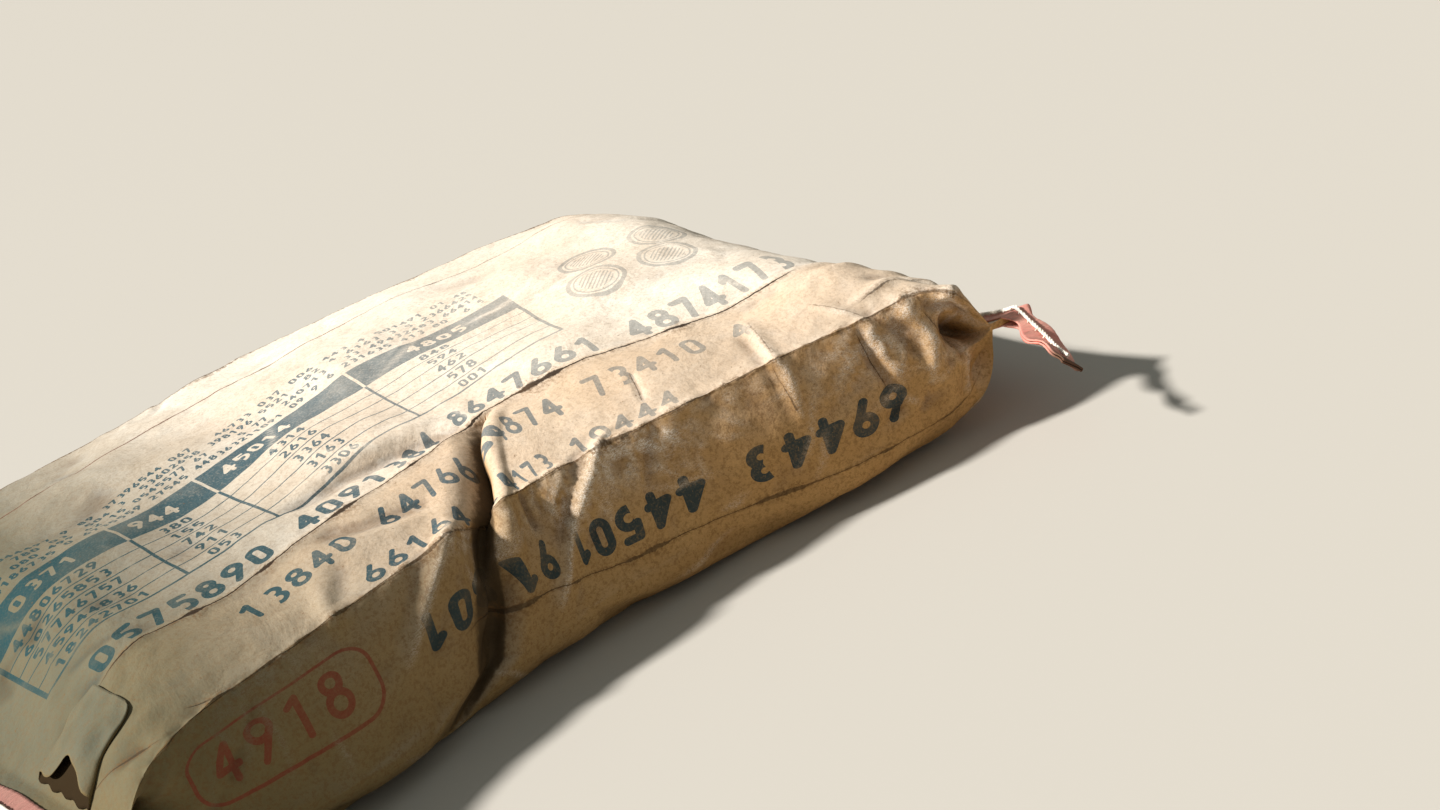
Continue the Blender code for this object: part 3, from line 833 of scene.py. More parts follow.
def crumpleRelief(s, way, region, seed):
    # many short folds at random places and headings
    count, height, sRange, wayRange, sizes, spreads = region
    rng = np.random.default_rng(seed)
    relief, worn = np.zeros(s.shape), np.zeros(s.shape)
    for _ in range(count):
        ds, dw = s - rng.uniform(*sRange), wayFrom(way, rng.uniform(*wayRange))
        heading, size = rng.uniform(0.0, np.pi), rng.uniform(*sizes)
        spread = rng.uniform(*spreads)
        rise = height * rng.uniform(0.3, 1.0) * rng.choice([-1.0, 1.0])
        ax, aw = math.cos(heading), math.sin(heading)
        along, across = ds * ax + dw * aw, dw * ax - ds * aw
        across = across + 0.15 * along * np.sin(along / size * 3.0 + heading)
        fade = ease(1.0 - np.abs(along) / size)
        relief += rise * fade * tent(across / np.where(across > 0.0, spread, spread * 2.2))
        worn += 0.5 * fade * bell(across / forms["crumpleWorn"]) * (rise > 0.0)
    return relief, worn


def blurGrid(field, reach):
    # box blur along and round, done twice
    steps = range(2 * reach + 1)
    for axis, way in [(0, "edge"), (1, "wrap")] * 2:
        padded = np.pad(field, [(reach * (a == axis),) * 2 for a in (0, 1)], way)
        size = field.shape[axis]
        field = sum(padded.take(range(k, k + size), axis) for k in steps) / len(steps)
    return field


def paperRelief(s, v, points):
    # everything that the paper does at right angles to the skin, and how worn its ridges are
    way = wayAt(v)
    parts = [foldRelief(s, way, fold) for fold in folds]
    parts += [crumpleRelief(s, way, region, 40 + number) for number, region in enumerate(crumples)]
    relief, worn = (sum(part) for part in zip(*parts))
    paper = slipped(s, way)
    between = np.clip(1.0 + paper / -creaseWay, 0.0, 1.0)       # the strip between the two long creases
    relief += forms["strip"] * np.sin(np.pi * between) * (way < 0.0)
    relief += forms["lip"] * tent((paper - creaseWay) / forms["lipReach"])
    (flatS, flatWay), (reachS, reachWay) = forms["flatAt"], forms["flatReach"]
    relief += forms["flat"] * tent((s - flatS) / reachS) * tent((way - flatWay) / reachWay)
    for rise, at, reach in forms["spots"]:
        relief += rise * spot(s, way, at, reach)
    for rise, size, seed in forms["noises"]:
        relief += rise * softNoise(points, size, seed)
    toEnd = (halfLength - sack["seamFlat"] - np.abs(s)) / forms["gatherReach"]
    rise, size, seed = forms["gather"]
    gather = softNoise(np.stack([points[..., 1], 0.25 * points[..., 0]], -1), size, seed)
    relief += rise * gather * np.clip(toEnd, 0.0, 1.0) * bell(toEnd)          # gathers by the sewn ends
    rise, size, seed = forms["fray"]
    relief += rise * softNoise(points, size, seed) * bell(way / forms["frayReach"])
    free = ease(toEnd * 2.0)                                 # nothing moves under the tape
    lying = ease(points[..., 2] / forms["lyingHeight"])      # nor where the sack lies
    return relief * free * mix(forms["lyingShare"], 1.0, lying), np.clip(worn, 0.0, 1.0) * free


# patches where the paper is rubbed pale and crumbly: strength, place and reach
scuffs = [
    (1.0, (0.085, 0.012), (0.045, 0.014)), (0.9, (0.020, 0.016), (0.030, 0.016)),
    (0.8, (-0.085, 0.006), (0.014, 0.008)), (0.8, (0.262, 0.018), (0.050, 0.020)),
    (0.8, (0.325, 0.020), (0.016, 0.030)), (0.5, (0.150, 0.010), (0.050, 0.008)),
    (0.5, (-0.250, 0.006), (0.060, 0.010)), (0.5, (-0.310, -0.050), (0.030, 0.060)),
    (0.6, (0.050, 0.560), (0.200, 0.030)),
]
# blur of the relief, scales of its ridges and hollows (the hollows hold dust, dirt and painted shade), and
# the soot spot's place and reach by the seams
wear = dict(blur=5, ridge=0.0010, hollowFrom=0.0004, hollow=0.0012,
            soot=(0.31, 0.03), sootReach=(0.05, 0.06))


def roughened(s, way):
    # soft-edged patches, broken up by a fine noise
    flat = np.stack([s, way], -1)
    grainy = np.clip(0.55 + 0.9 * softNoise(flat, 0.016, 81) + 0.5 * softNoise(flat, 0.006, 82), 0.0, 1.0)
    patches = [strength * spot(s, way, at, reach) for strength, at, reach in scuffs]
    return np.max(patches, axis=0) * grainy


def onTube(s, v, mirror):
    # s and way on the printed tube, on which the other side repeats this one
    way = wayAt(v)
    return np.where(mirror, -s, s), np.where(mirror, ways[-1] - way, way)


def makeSack(materials):
    # the CAD's skin, settled by the simulation, plus the paper's relief along its normals
    stations = warpedSteps(-halfLength, halfLength, mesh["rings"], mesh["along"])
    rounds = [number + warpedSteps(0.0, 1.0, *panel)[:-1] for number, panel in enumerate(mesh["panels"])]
    rounds = np.concatenate(rounds)
    station, v = np.meshgrid(stations, rounds, indexing="ij")
    rows, columns = v.shape
    s = leaning(station, v)
    points = skinAt(s, v)
    sparse = points[::settle["thin"], ::settle["thin"]]
    loose = ease((halfLength - settle["freeFrom"] - np.abs(station)) / settle["freeRun"])
    points = points + spreadOver(settlePaper(sparse), rows, columns) * loose[..., None]
    print("paper settled on", sparse.shape[:2], "points")
    relief, worn = paperRelief(s, v, points)
    points = points + gridNormals(points) * relief[..., None]
    normals = gridNormals(points)
    points[..., 2] = np.maximum(points[..., 2], sack["lying"])
    obj = addRings("paper_sack", [points], materials)
    fine = relief - blurGrid(relief, wear["blur"])
    printS, printWay = onTube(s, v, v >= 3.0)
    # fields for the shader: hollow carries dust, dirt and painted shade, buckleShade the painted shade of
    # the valley
    fields = dict(
        ridge=np.clip(fine / wear["ridge"], 0.0, 1.0), worn=worn, scuff=roughened(printS, printWay),
        hollow=np.clip((-fine - wear["hollowFrom"]) / wear["hollow"], 0.0, 1.0), buckleShade=valleyShade(s, v),
        soot=spot(np.abs(s), printWay, wear["soot"], wear["sootReach"]),     # grimy corners by the seams
        slip=slipped(printS, printWay) - printWay,
    )
    for key, values in fields.items():
        fill(obj.data.attributes.new(key, "FLOAT", "POINT").data, "value", values)
    panel = np.broadcast_to(np.floor(rounds).astype(int), (rows - 1, columns))
    closed = np.append(rounds, 4.0)
    i, j = np.meshgrid(np.arange(rows - 1), np.arange(columns), indexing="ij")
    corners = []
    for di, dj in ((0, 0), (1, 0), (1, 1), (0, 1)):
        cornerV = closed[j + dj]
        cornerS = leaning(stations[i + di], cornerV)
        corners.append(np.stack(onTube(cornerS, cornerV, panel == 3), -1))
    ends = [np.stack([s[row], wayAt(v[row])], -1)[::step] for row, step in ((0, 1), (-1, -1))]
    unrolled = np.concatenate([np.stack(corners, 2).reshape(-1, 2), *ends])
    fill(obj.data.uv_layers.new(name="unrolled").uv, "vector", unrolled)
    kinds = np.append(np.array([0, 1, 2, 1])[panel], [2, 2])
    fill(obj.data.polygons, "material_index", kinds, np.int32)
    return turnOut(obj), (stations, rounds, points, normals)


# print on the paper: a plain ruled table, rings, a red frame and plain numbers, in metres on the tube

printing = dict(
    table=dict(s=(-0.304, 0.117), way=(-0.205, -0.107), header=0.031, rows=5, lean=0.045,
               columns=(-0.204, -0.137, -0.008), columnHalf=0.0011, ruleHalf=0.00048,
               lastHalf=0.00085, sideHalf=0.0013),
    rings=[(0.170, -0.140), (0.228, -0.136), (0.186, -0.186), (0.244, -0.180)], ringSize=0.021,
    ringHalf=0.0018, innerRing=0.80, innerHalf=0.0007, bars=0.62, barPitch=0.0042, barWidth=0.0018,
    ringInk=0.75,
    box=dict(centre=(-0.236, 0.046), half=(0.062, 0.024), corner=0.018, inset=0.001, lineHalf=0.0012),
    redRule=-0.332, redHalf=0.0009, redEnd=0.05,
)

# blocks of figures: limits along and round, rows, width of a place, height as a share of a row, stroke;
# then which places are filled: all but one in gap, or the listed cells, or words at random
blocks = [
    dict(s=(-0.287, 0.290), way=(-0.0930, -0.0735), place=0.0180, tall=0.90, weight=0.205, gap=8, seed=3),
    dict(s=(-0.214, 0.206), way=(-0.0560, -0.0335), place=0.0168, tall=0.80, weight=0.175, gap=6, seed=14),
    dict(s=(-0.152, 0.130), way=(-0.0200, -0.0015), place=0.0168, tall=0.90, weight=0.175, gap=6, seed=23),
    dict(s=(-0.285, 0.110), way=(-0.2520, -0.2100), rows=4, place=0.0062, tall=0.66, weight=0.22,
         words=0.20, seed=31),
    dict(s=(-0.300, 0.112), way=(-0.1740, -0.1070), rows=5, place=0.0082, tall=0.62, weight=0.20,
         seed=53, cells=[(1, 8), (14, 16), (25, 28), (41, 43)]),
    dict(s=(-0.300, 0.112), way=(-0.2020, -0.1770), place=0.0120, tall=0.56, weight=0.20,
         seed=67, ink="knocked", cells=[(2, 5), (9, 11), (15, 19), (28, 31)]),
    dict(s=(-0.146, 0.274), way=(0.0330, 0.0575), place=0.0247, tall=0.98, weight=0.225, gap=6,
         seed=75, turned=True),
    dict(s=(-0.286, -0.190), way=(0.0270, 0.0640), place=0.0240, tall=0.84, weight=0.140, gap=9,
         seed=86, ink="red"),
]


def inside(value, limits):
    # 1 between two limits
    return (value > limits[0]) * (value < limits[1])


def lineMask(value, at, half):
    # 1 on a line that is twice half wide
    return abs(value - at) < half


def drawn(number, row, seed):
    # a random value from 0 to 1 for each place of a block
    cell = joinPlace(number + (seed + 0.5), row + 0.5)
    return addNode(number.tree, "TexWhiteNoise", dict(Vector=cell), noise_dimensions="2D")


def figurePlaces(s, way, block):
    # where a point is within its figure, which figure that is, and whether the point is in the block
    low, high = block["way"]
    sign = -1.0 if "turned" in block else 1.0
    within = inside(s, block["s"]) * (way > low) * (way < high)
    rowPlace = (way - low) * (block.get("rows", 1) / (high - low))
    placed = (s - block["s"]["turned" in block]) * (sign / block["place"])
    row, number = rowPlace.floor(), placed.floor()
    draw = drawn(number, row, block["seed"])
    if "gap" in block:
        filled = ((number + 1.0) % float(block["gap"])) > 0.5
    elif "cells" in block:
        filled = total([inside(number, (a - 0.5, b + 0.5)) for a, b in block["cells"]])
    else:
        filled = drawn(number, row, block["seed"] + 80) > block["words"]
    x = (placed - number - 0.5) * 1.55
    y = (row - rowPlace + 0.5) * (sign * 2.0 / block["tall"])
    figure = (draw * 9.99).floor()
    return {"x": x * within, "y": y * within, "figure": figure * within,
            "weight": within * block["weight"], block.get("ink", "blue"): within * filled}


def makePrint(s, way, panel):
    # blue and red ink on the flat tube, as two masks; panel is top or side
    sums = {}
    for block in blocks:
        if (block["way"][0] < 0.0) == (panel == "top"):
            for key, part in figurePlaces(s, way, block).items():
                sums[key] = sums[key] + part if key in sums else part
    figures = useGroup(numeralGroup, X=sums["x"], Y=sums["y"], Figure=sums["figure"],
                       Weight=sums["weight"])["Ink"]
    if panel == "side":
        box = printing["box"]
        bx, by = ((abs(value - centre) - (half - box["corner"])).most(0.0)
                  for value, centre, half in zip((s, way), box["centre"], box["half"]))
        frameInk = lineMask((bx * bx + by * by) ** 0.5, box["corner"] - box["inset"], box["lineHalf"])
        return (figures * sums["blue"]).clamp(), (frameInk + figures * sums["red"]).clamp()
    table = printing["table"]
    low, high = table["way"]
    headerEnd = low + table["header"]
    across = s + (way - high) * table["lean"]
    insideTable = inside(across, table["s"])
    columns = total([lineMask(across, at, table["columnHalf"]) for at in table["columns"]]).clamp()
    band = insideTable * (way > low) * (way < headerEnd) * columns.invert()
    blue = band * (figures * sums["knocked"]).invert() + figures * sums["blue"]
    steps = [mix(headerEnd, high, number / table["rows"]) for number in range(1, table["rows"] + 1)]
    rules = total([lineMask(way, at, table["lastHalf" if at == high else "ruleHalf"]) for at in steps])
    sides = total([lineMask(across, side, table["sideHalf"]) for side in table["s"]])
    upright = (columns * insideTable * (way > headerEnd) + sides) * (way > low) * (way < high + 0.0006)
    blue = blue + rules * insideTable + upright
    size = printing["ringSize"]
    for ringS, ringWay in printing["rings"]:
        ds, dw = s - ringS, way - ringWay
        away = (ds * ds + dw * dw) ** 0.5
        bars = ((s + way) % printing["barPitch"]) < printing["barWidth"]
        bars = bars * (away < size * printing["bars"])
        inner = lineMask(away, size * printing["innerRing"], printing["innerHalf"])
        blue = blue + (lineMask(away, size, printing["ringHalf"]) + inner + bars) * printing["ringInk"]
    red = lineMask(way, printing["redRule"], printing["redHalf"]) * (s < printing["redEnd"])
    return blue.clamp(), red.clamp()


kraft = dict(
    pale=(0.640, 0.365, 0.118, 1.0), tan=(0.440, 0.222, 0.058, 1.0), brown=(0.150, 0.070, 0.020, 1.0),
    dust=(0.870, 0.810, 0.725, 1.0), cement=(0.098, 0.106, 0.080, 1.0), dark=(0.024, 0.013, 0.006, 1.0),
    grimeAndShade=(0.092, 0.090, 0.044, 1.0), blue=(0.030, 0.088, 0.125, 1.0), navy=(0.012, 0.036, 0.044, 1.0),
    shadedInk=(0.004, 0.046, 0.058, 1.0), red=(0.200, 0.024, 0.014, 1.0), shade=(0.060, 0.036, 0.015, 1.0),
    rough=0.88, shine=0.22,
    # by panel: where the painted shade of the near end grows along x and its share, dust left (the side's
    # smaller share also stands for painted shade), pepper, and how much the print pales to the far end as a
    # painted highlight
    top=dict(grimeAndShade=(0.00, -0.28), shadeShare=0.80, pepper=0.22, glare=0.45),
    side=dict(grimeAndShade=(0.20, -0.30), shadeShare=0.84, film=0.29, pepper=0.46, glare=0.0),
    plain=dict(grimeAndShade=(0.00, -0.28), shadeShare=0.80, pepper=0.22),
)

# long creases of the flat tube by panel: way, slope, s limits, width, how dark, how frayed, and
# where it gapes brown: the middle, reach and width of the gape
edgeCrease = (0.0006, 0.0, (-0.330, 0.338), 0.00066, 0.55, 0.62, (0.300, 0.026, 0.0008))
creaseLines = dict(
    top=[(creaseWay, 0.0, (-0.300, 0.268), 0.00120, 0.95, 0.50, (0.052, 0.026, 0.0006)), edgeCrease,
         (ways[0] - creaseWay, 0.0, (-0.290, 0.290), 0.00080, 0.85, 0.45, (0.0, 0.02, 0.001)),
         (ways[0] + 0.0006, 0.0, (-0.330, 0.330), 0.00080, 0.60, 0.80, (0.1, 0.02, 0.001))],
    side=[edgeCrease, (0.0640, 0.034, (-0.120, 0.338), 0.00080, 0.62, 0.55, (0.190, 0.010, 0.0008))],
)

# short cracks by panel: from and to in (s, way) on the skin, width, how dark
cracks = dict(
    top=[((0.205, -0.048), (0.197, -0.002), 0.0005, 0.40), ((0.242, -0.031), (0.264, -0.001), 0.0006, 0.60),
         ((0.268, -0.013), (0.322, -0.021), 0.0006, 0.60), ((0.119, -0.050), (0.112, -0.022), 0.0009, 0.75),
         ((-0.276, -0.010), (-0.262, -0.002), 0.0011, 0.75),
         ((-0.300, -0.004), (-0.334, -0.036), 0.0006, 0.60)],
    side=[((0.193, 0.004), (0.196, 0.036), 0.0006, 0.55), ((0.254, 0.008), (0.260, 0.048), 0.00085, 0.85),
          ((0.300, 0.012), (0.318, 0.052), 0.0006, 0.55)],
)


def given(tree, key):
    # a field that makeSack has put on the sack's points
    return addNode(tree, "Attribute", {}, "Fac", attribute_name=key)


def paintCreases(coat, height, s, way, paper, panel):
    # dark splits with frayed edges along the tube's long creases, then the skin's short cracks
    for number, crease in enumerate(creaseLines[panel]):
        lineWay, slope, (low, high), width, dark, frayed, (middle, reach, gape) = crease
        inRange = s.between(low, low + 0.03) * s.between(high, high - 0.02)
        opened = (abs(s - middle) / reach).between(1.0, 0.2) * gape
        crack = useGroup(crackGroup, Along=s, Across=paper - (s * slope + lineWay),
                         Width=opened + width, Seed=3.0 * number)
        split = crack["Split"] * inRange * dark
        coat.over(crack["Fray"] * inRange * frayed, "brown")
        coat.over(split, blendColour((opened * 400.0).clamp(), kraft["dark"], kraft["brown"]))
        height = height + crack["Rise"] * inRange * 0.8 - split * 3.0
    for number, (a, b, width, dark) in enumerate(cracks[panel]):
        size = math.dist(a, b)
        runS, runWay = (b[0] - a[0]) / size, (b[1] - a[1]) / size
        ds, dw = s - a[0], way - a[1]
        along, aside = ds * runS + dw * runWay, dw * runS - ds * runWay
        inRange = along.between(-0.003, 0.004) * along.between(size + 0.003, size - 0.006)
        crack = useGroup(crackGroup, Along=along, Across=aside * 1.4, Width=width,
                         Seed=40.0 + 3.0 * number)
        coat.over(crack["Fray"] * inRange * 0.5, "brown")
        coat.over(crack["Split"] * inRange * dark, "dark")
    return height


def kraftPaint(tree, panel):
    # fibres, painted shade towards the near end, cement dust, print, what is rubbed off, dirt and painted
    # shade in hollows, painted shade in the buckle's valley, soot, creases
    look, place, up = kraft[panel], placeOn(tree), facingUp(tree)
    ridge, hollow, worn, scuff = (given(tree, key) for key in ("ridge", "hollow", "worn", "scuff"))
    grain = useGroup(grainGroup, Place=place, Fineness=1.0)
    fibre = grain["Fibre"]
    film = useGroup(dustGroup, Place=place, Up=up, Hollow=hollow)["Film"]
    stain = noiseAt(place, "stain")
    along = splitPlace(place)[0]
    mottle = grain["Mottle"].between(0.30, 0.72) * 0.45 + 0.20
    coat = Coat(kraft, blendColour(mottle, kraft["tan"], kraft["pale"]))
    coat.over(fibre.between(0.32, 0.70) * 0.42, "brown")
    coat.over(stain.between(0.56, 0.80) * 0.12, "brown")
    # cement dust, which turns dark greenish grey towards the near end: grey cement and painted shade
    dustAndShade = blendColour(along.between(-0.02, -0.29), kraft["dust"], kraft["cement"])
    if panel != "plain":
        s, way, _ = splitPlace(addNode(tree, "UVMap", {}, uv_map="unrolled"))
        paper = way + given(tree, "slip")
    if panel == "top":                                            # the strip by the edge is rubbed
        film = film * (paper.between(creaseWay - 0.008, creaseWay + 0.006) * -0.40 + 1.0)
    # the side keeps less dust and so stays darker: partly less dust, partly painted shade
    if panel == "side":
        film = film * look["film"]
    # painted shade: the paper darkens towards the near end
    coat.over(along.between(*look["grimeAndShade"]) * look["shadeShare"], "grimeAndShade")
    coat.over(film, dustAndShade)
    coat.over(noiseAt(place, "pepper").between(0.53, 0.40) * look["pepper"], "brown")
    height = fibre * 0.5
    if panel != "plain":
        blue, red = makePrint(s, paper, panel)
        rubbed = (worn * 0.8 + ridge * 0.2 + scuff * 0.45).clamp()
        blueInk, redInk = (useGroup(inkGroup, Ink=ink, Place=place, Grain=fibre, Wear=rubbed)["Cover"]
                           for ink in (blue, red))
        paler = s.between(-0.12, 0.20) * look["glare"]         # painted highlight: the print paler to the far end
        ink = blendColour(s.between(0.00, -0.26), kraft["blue"], kraft["shadedInk"])     # painted shade: darker ink by the valve
        coat.over(blueInk * (paler.invert() * 0.93), ink if panel == "top" else "navy")
        coat.over(redInk * 0.72, "red")
    rubbedOff = scuff * fibre.between(0.62, 0.36) + worn * fibre.between(0.58, 0.38)
    coat.over((rubbedOff * 0.75).clamp(), dustAndShade)
    # dirt and painted shade: the relief's hollows darkened with brown
    coat.over(hollow * 0.42, "brown", "MULTIPLY")
    if panel != "plain":                                          # painted shade, dark brown, in the buckle's valley
        buckleShade = (given(tree, "buckleShade") + noiseAt(place, "shadeRag") * 0.7 - 0.35).between(0.22, 0.80)
        coat.over(buckleShade * 0.90, "shade")
    coat.over(grain["Speck"] * 0.50, "brown")
    smudge = noiseAt(place, "smudge").between(0.60, 0.74) * fibre.between(0.35, 0.6)
    coat.over((smudge * given(tree, "soot")).clamp() * 0.7, "grimeAndShade")
    if panel != "plain":
        height = paintCreases(coat, height, s, way, paper, panel)
    crushed = abs(noiseAt(place, "crushed") * 2.0 - 1.0)          # sharp small creases
    creased = bumped(noiseAt(place, "crinkle") * 0.5 + crushed * 1.4, 0.36, 0.0026)
    return {"Base Color": coat.colour, "Roughness": kraft["rough"], "Specular IOR Level": kraft["shine"],
            "Normal": bumped(height, 0.60, 0.00050, Normal=creased)}


# crepe tape over each mouth, with its loose tails

tape = dict(
    lip=0.027, thickness=0.0009, tail=0.080, closing=0.020, clearance=0.0003, step=0.0014,
    lipSteps=12, foldSteps=9, crepe=0.00035, crepePitch=0.0040, edgeWave=(0.035, 61.0),
    edgeRipple=(0.020, 143.0), crumple=0.0016, crumpleSize=0.040, pull=0.0003, pullPlace=0.013,
    pullWidth=0.002, curl=0.0016, waist=0.45, waistPlace=0.12, waistReach=0.10, narrowing=0.25,
)
tails = dict(
    # the twist, sway, dip and sag of each end's two tails, the camera's side first
    far=dict(side=1.0, droop=0.012, front=(0.88, -0.020, -0.004, 0.007),
             back=(-0.3, -0.008, -0.012, 0.0), seed=11),
    near=dict(side=-1.0, droop=0.026, front=(-0.45, 0.004, 0.004, 0.0),
              back=(0.8, -0.006, 0.010, 0.0), seed=29),
)


def tailWay(y):
    # 0 at the mouth's corner, 1 at a tail's end
    return np.clip((np.abs(y) - sack["seamHalf"]) / tape["tail"], 0.0, 1.0)


def tapeHalfGap(y):
    # half the room inside the folded tape: the seam's, closing up past the mouth's corners
    past = (np.abs(y) - sack["seamHalf"] - tape["clearance"]) / tape["closing"]
    return mix(halfSeam + tape["clearance"], tape["clearance"], ease(past))


def hangTail(end, y, inward, height):
    # carries (distance in from the fold, height over the seam) at y to the hanging, twisted tail
    past, middle = tailWay(y), tape["lip"] / 2
    twist, sway, dip, sag = (np.where(y < 0.0, a, b) for a, b in zip(end["front"], end["back"]))
    twist = twist * ease(past * 1.3)
    dip = end["droop"] * past**1.2 + dip * past**3 + sag * np.sin(np.pi * past)
    pinch = 1.0 - tape["waist"] * bell((past - tape["waistPlace"]) / tape["waistReach"])
    across = (inward - middle) * (pinch - tape["narrowing"] * past**2)
    turned = np.cos(twist) * across - np.sin(twist) * height
    lifted = np.sin(twist) * across + np.cos(twist) * height
    foldPlace = halfLength + halfSeam + 2.0 * tape["clearance"] + tape["thickness"]
    s = end["side"] * (foldPlace - middle - turned) + sway * past**2
    curl = tape["curl"] * np.sin(past * 9.0 + across * 120.0) * past
    return bendAll(s, y, seamLevel(end["side"], y) + lifted - dip + curl)


def makeTape(name, end, material):
    # a folded ring profile carried along the seam: out along the top, round the fold, back below,
    # then the same on the inside, one thickness in
    seed, reach = end["seed"], sack["seamHalf"] + tape["tail"]
    y = np.linspace(reach, -reach, int(2 * reach / tape["step"]))[:, None]
    lipShare = np.linspace(1.0, 0.0, tape["lipSteps"], endpoint=False)
    turn = np.linspace(0.5 * np.pi, 1.5 * np.pi, tape["foldSteps"])
    (deep, often), (fineDeep, fineOften) = tape["edgeWave"], tape["edgeRipple"]
    lip = tape["lip"] * (1.0 + deep * np.sin(y * often + seed) + fineDeep * np.sin(y * fineOften))

    def loop(gap, back):
        over = back + gap + (lip - back - gap) * lipShare
        bow = back + gap * (1.0 + np.cos(turn))
        high = [gap + 0 * over, gap * np.sin(turn), -gap + 0 * over]
        return np.concatenate([over, bow, over[:, ::-1]], 1), np.concatenate(high, 1)

    half = tapeHalfGap(y)
    outAlong, outHigh = loop(half + tape["thickness"], 0.0)
    inAlong, inHigh = loop(half, tape["thickness"])
    along = np.concatenate([outAlong, inAlong[:, ::-1]], 1)
    high = np.concatenate([outHigh, inHigh[:, ::-1]], 1)
    outside = np.repeat([1.0, 0.0], outAlong.shape[1]) * np.sign(high)
    y = y + 0 * along
    spots = np.stack([y, along * 0.35], -1)
    ripple = 0.5 + 0.5 * np.sin(2 * np.pi * y / tape["crepePitch"] + 2.5 * softNoise(spots, 0.02, seed + 1))
    ripple = tape["crepe"] * ripple * (0.7 + 0.5 * softNoise(spots, 0.03, seed + 2))
    past = tailWay(y)
    loose = tape["crumple"] * softNoise(spots, tape["crumpleSize"], seed + 3) * ease(past * 3.0)
    pulled = tape["pull"] * bell((along - tape["pullPlace"]) / tape["pullWidth"]) * (past < 0.9)
    points = hangTail(end, y, along, high + (ripple - pulled) * outside + loose)
    obj = addRings(name, [points], [material])
    corners = np.empty(len(obj.data.loops), np.int32)
    obj.data.loops.foreach_get("vertex_index", corners)
    unrolled = np.stack([y, along * np.where(high < 0, -1.0, 1.0)], -1).reshape(-1, 2)
    fill(obj.data.uv_layers.new(name="unrolled").uv, "vector", unrolled[corners])
    return turnOut(obj)


crepe = dict(pink=(0.64, 0.125, 0.095, 1.0), paler=(0.78, 0.33, 0.255, 1.0), dirt=(0.20, 0.09, 0.05, 1.0),
             nearShade=(0.150, 0.085, 0.080, 1.0), tip=0.284, tipRun=0.020, rough=0.80, shine=0.25)


def crepePaint(tree):
    # faded pink in clouds, dirt between the crepe's ridges, dust, blotches, painted shade on the tails'
    # ends and painted shade by the valve
    place, up = placeOn(tree), facingUp(tree)
    unrolled = addNode(tree, "UVMap", {}, uv_map="unrolled")
    grain = useGroup(grainGroup, Place=place, Fineness=1.3)
    film = useGroup(dustGroup, Place=place, Up=up, Hollow=0.0)["Film"]
    ridges = noiseAt(stretched(unrolled, (1.0, 0.13, 1.0)), "ridges")
    fading = noiseAt(place, "fading").between(0.30, 0.72)
    coat = Coat(crepe, blendColour(fading, crepe["pink"], crepe["paler"]))
    coat.over(ridges.between(0.30, 0.62).invert() * 0.45, "dirt")
    coat.over(film * 0.22, kraft["dust"])
    coat.over(noiseAt(place, "blotch").between(0.62, 0.74) * 0.5, "dirt")
    # painted shade: the tails' ends darkened to shaded brown
    tip = abs(splitPlace(unrolled)[0]).between(crepe["tip"] - crepe["tipRun"], crepe["tip"])
    coat.over(tip * 0.90, kraft["shade"])
    coat.over(splitPlace(place)[0].between(-0.22, -0.37) * 0.62, "nearShade")        # painted shade: greyer by the valve
    return {"Base Color": coat.colour, "Roughness": crepe["rough"], "Specular IOR Level": crepe["shine"],
            "Normal": bumped(ridges + grain["Fibre"] * 0.3, 0.8, 0.0007)}


# filler cord and stitches

stitching = dict(
    inset=0.013, cord=0.0014, strand=0.00050, pitch=0.0085, plies=3, layLength=0.0075, endInset=0.017,
    steps=620, gap=0.0003, plyShare=0.52, plySides=6, wobble=0.0003, wobbles=90.0,
    stitchHalf=0.0012, stitchSteps=9, arch=1.25, sunk=0.9, span=1.7, strandSides=5,
)


def tubeAlong(path, radius, sides):
    # a round profile carried along a path, with a frame that doesn't spin
    ahead = unit(np.gradient(path, axis=0))
    side = unit(np.cross(ahead, upward))
    up = np.cross(side, ahead)
    turn = np.linspace(0.0, 2 * np.pi, sides, endpoint=False)[:, None]
    return path[:, None] + radius * (np.cos(turn) * side[:, None] + np.sin(turn) * up[:, None])


def makeStitching(name, end, material):
    # three plies laid round the seam line, held by stitches that dive through the tape
    reach = sack["seamHalf"] + tape["tail"] - stitching["endInset"]
    fat, plies, pitch = stitching["cord"], stitching["plies"], stitching["pitch"]

    def seamPath(at, across, lift):
        rest = tapeHalfGap(at) + tape["thickness"] + tape["crepe"] + stitching["gap"] + fat
        return hangTail(end, at, stitching["inset"] + across, rest + lift)

    grids = []
    y = np.linspace(reach, -reach, stitching["steps"])
    for ply in range(plies):
        phase = 2 * np.pi * (y / stitching["layLength"] + ply / plies)
        wobble = stitching["wobble"] * np.sin(y * stitching["wobbles"] + ply)
        path = seamPath(y, 0.5 * fat * np.cos(phase) + wobble, 0.5 * fat * np.sin(phase))
        grids.append(tubeAlong(path, stitching["plyShare"] * fat, stitching["plySides"]))
    swing = np.linspace(-1.0, 1.0, stitching["stitchSteps"])
    arch = fat * stitching["arch"] * (1.0 - blunt(np.abs(swing))) - fat * stitching["sunk"]
    for number in range(int(2 * reach / pitch)):
        at = reach - (number + 0.5) * pitch + swing * stitching["stitchHalf"]
        path = seamPath(at, swing * fat * stitching["span"], arch)
        grids.append(tubeAlong(path, stitching["strand"], stitching["strandSides"]))
    return turnOut(addRings(name, grids, [material]))


cotton = dict(white=(0.86, 0.82, 0.74, 1.0), old=(0.62, 0.54, 0.43, 1.0), dirt=(0.45, 0.36, 0.26, 1.0),
              rough=0.9, sheen=0.3)


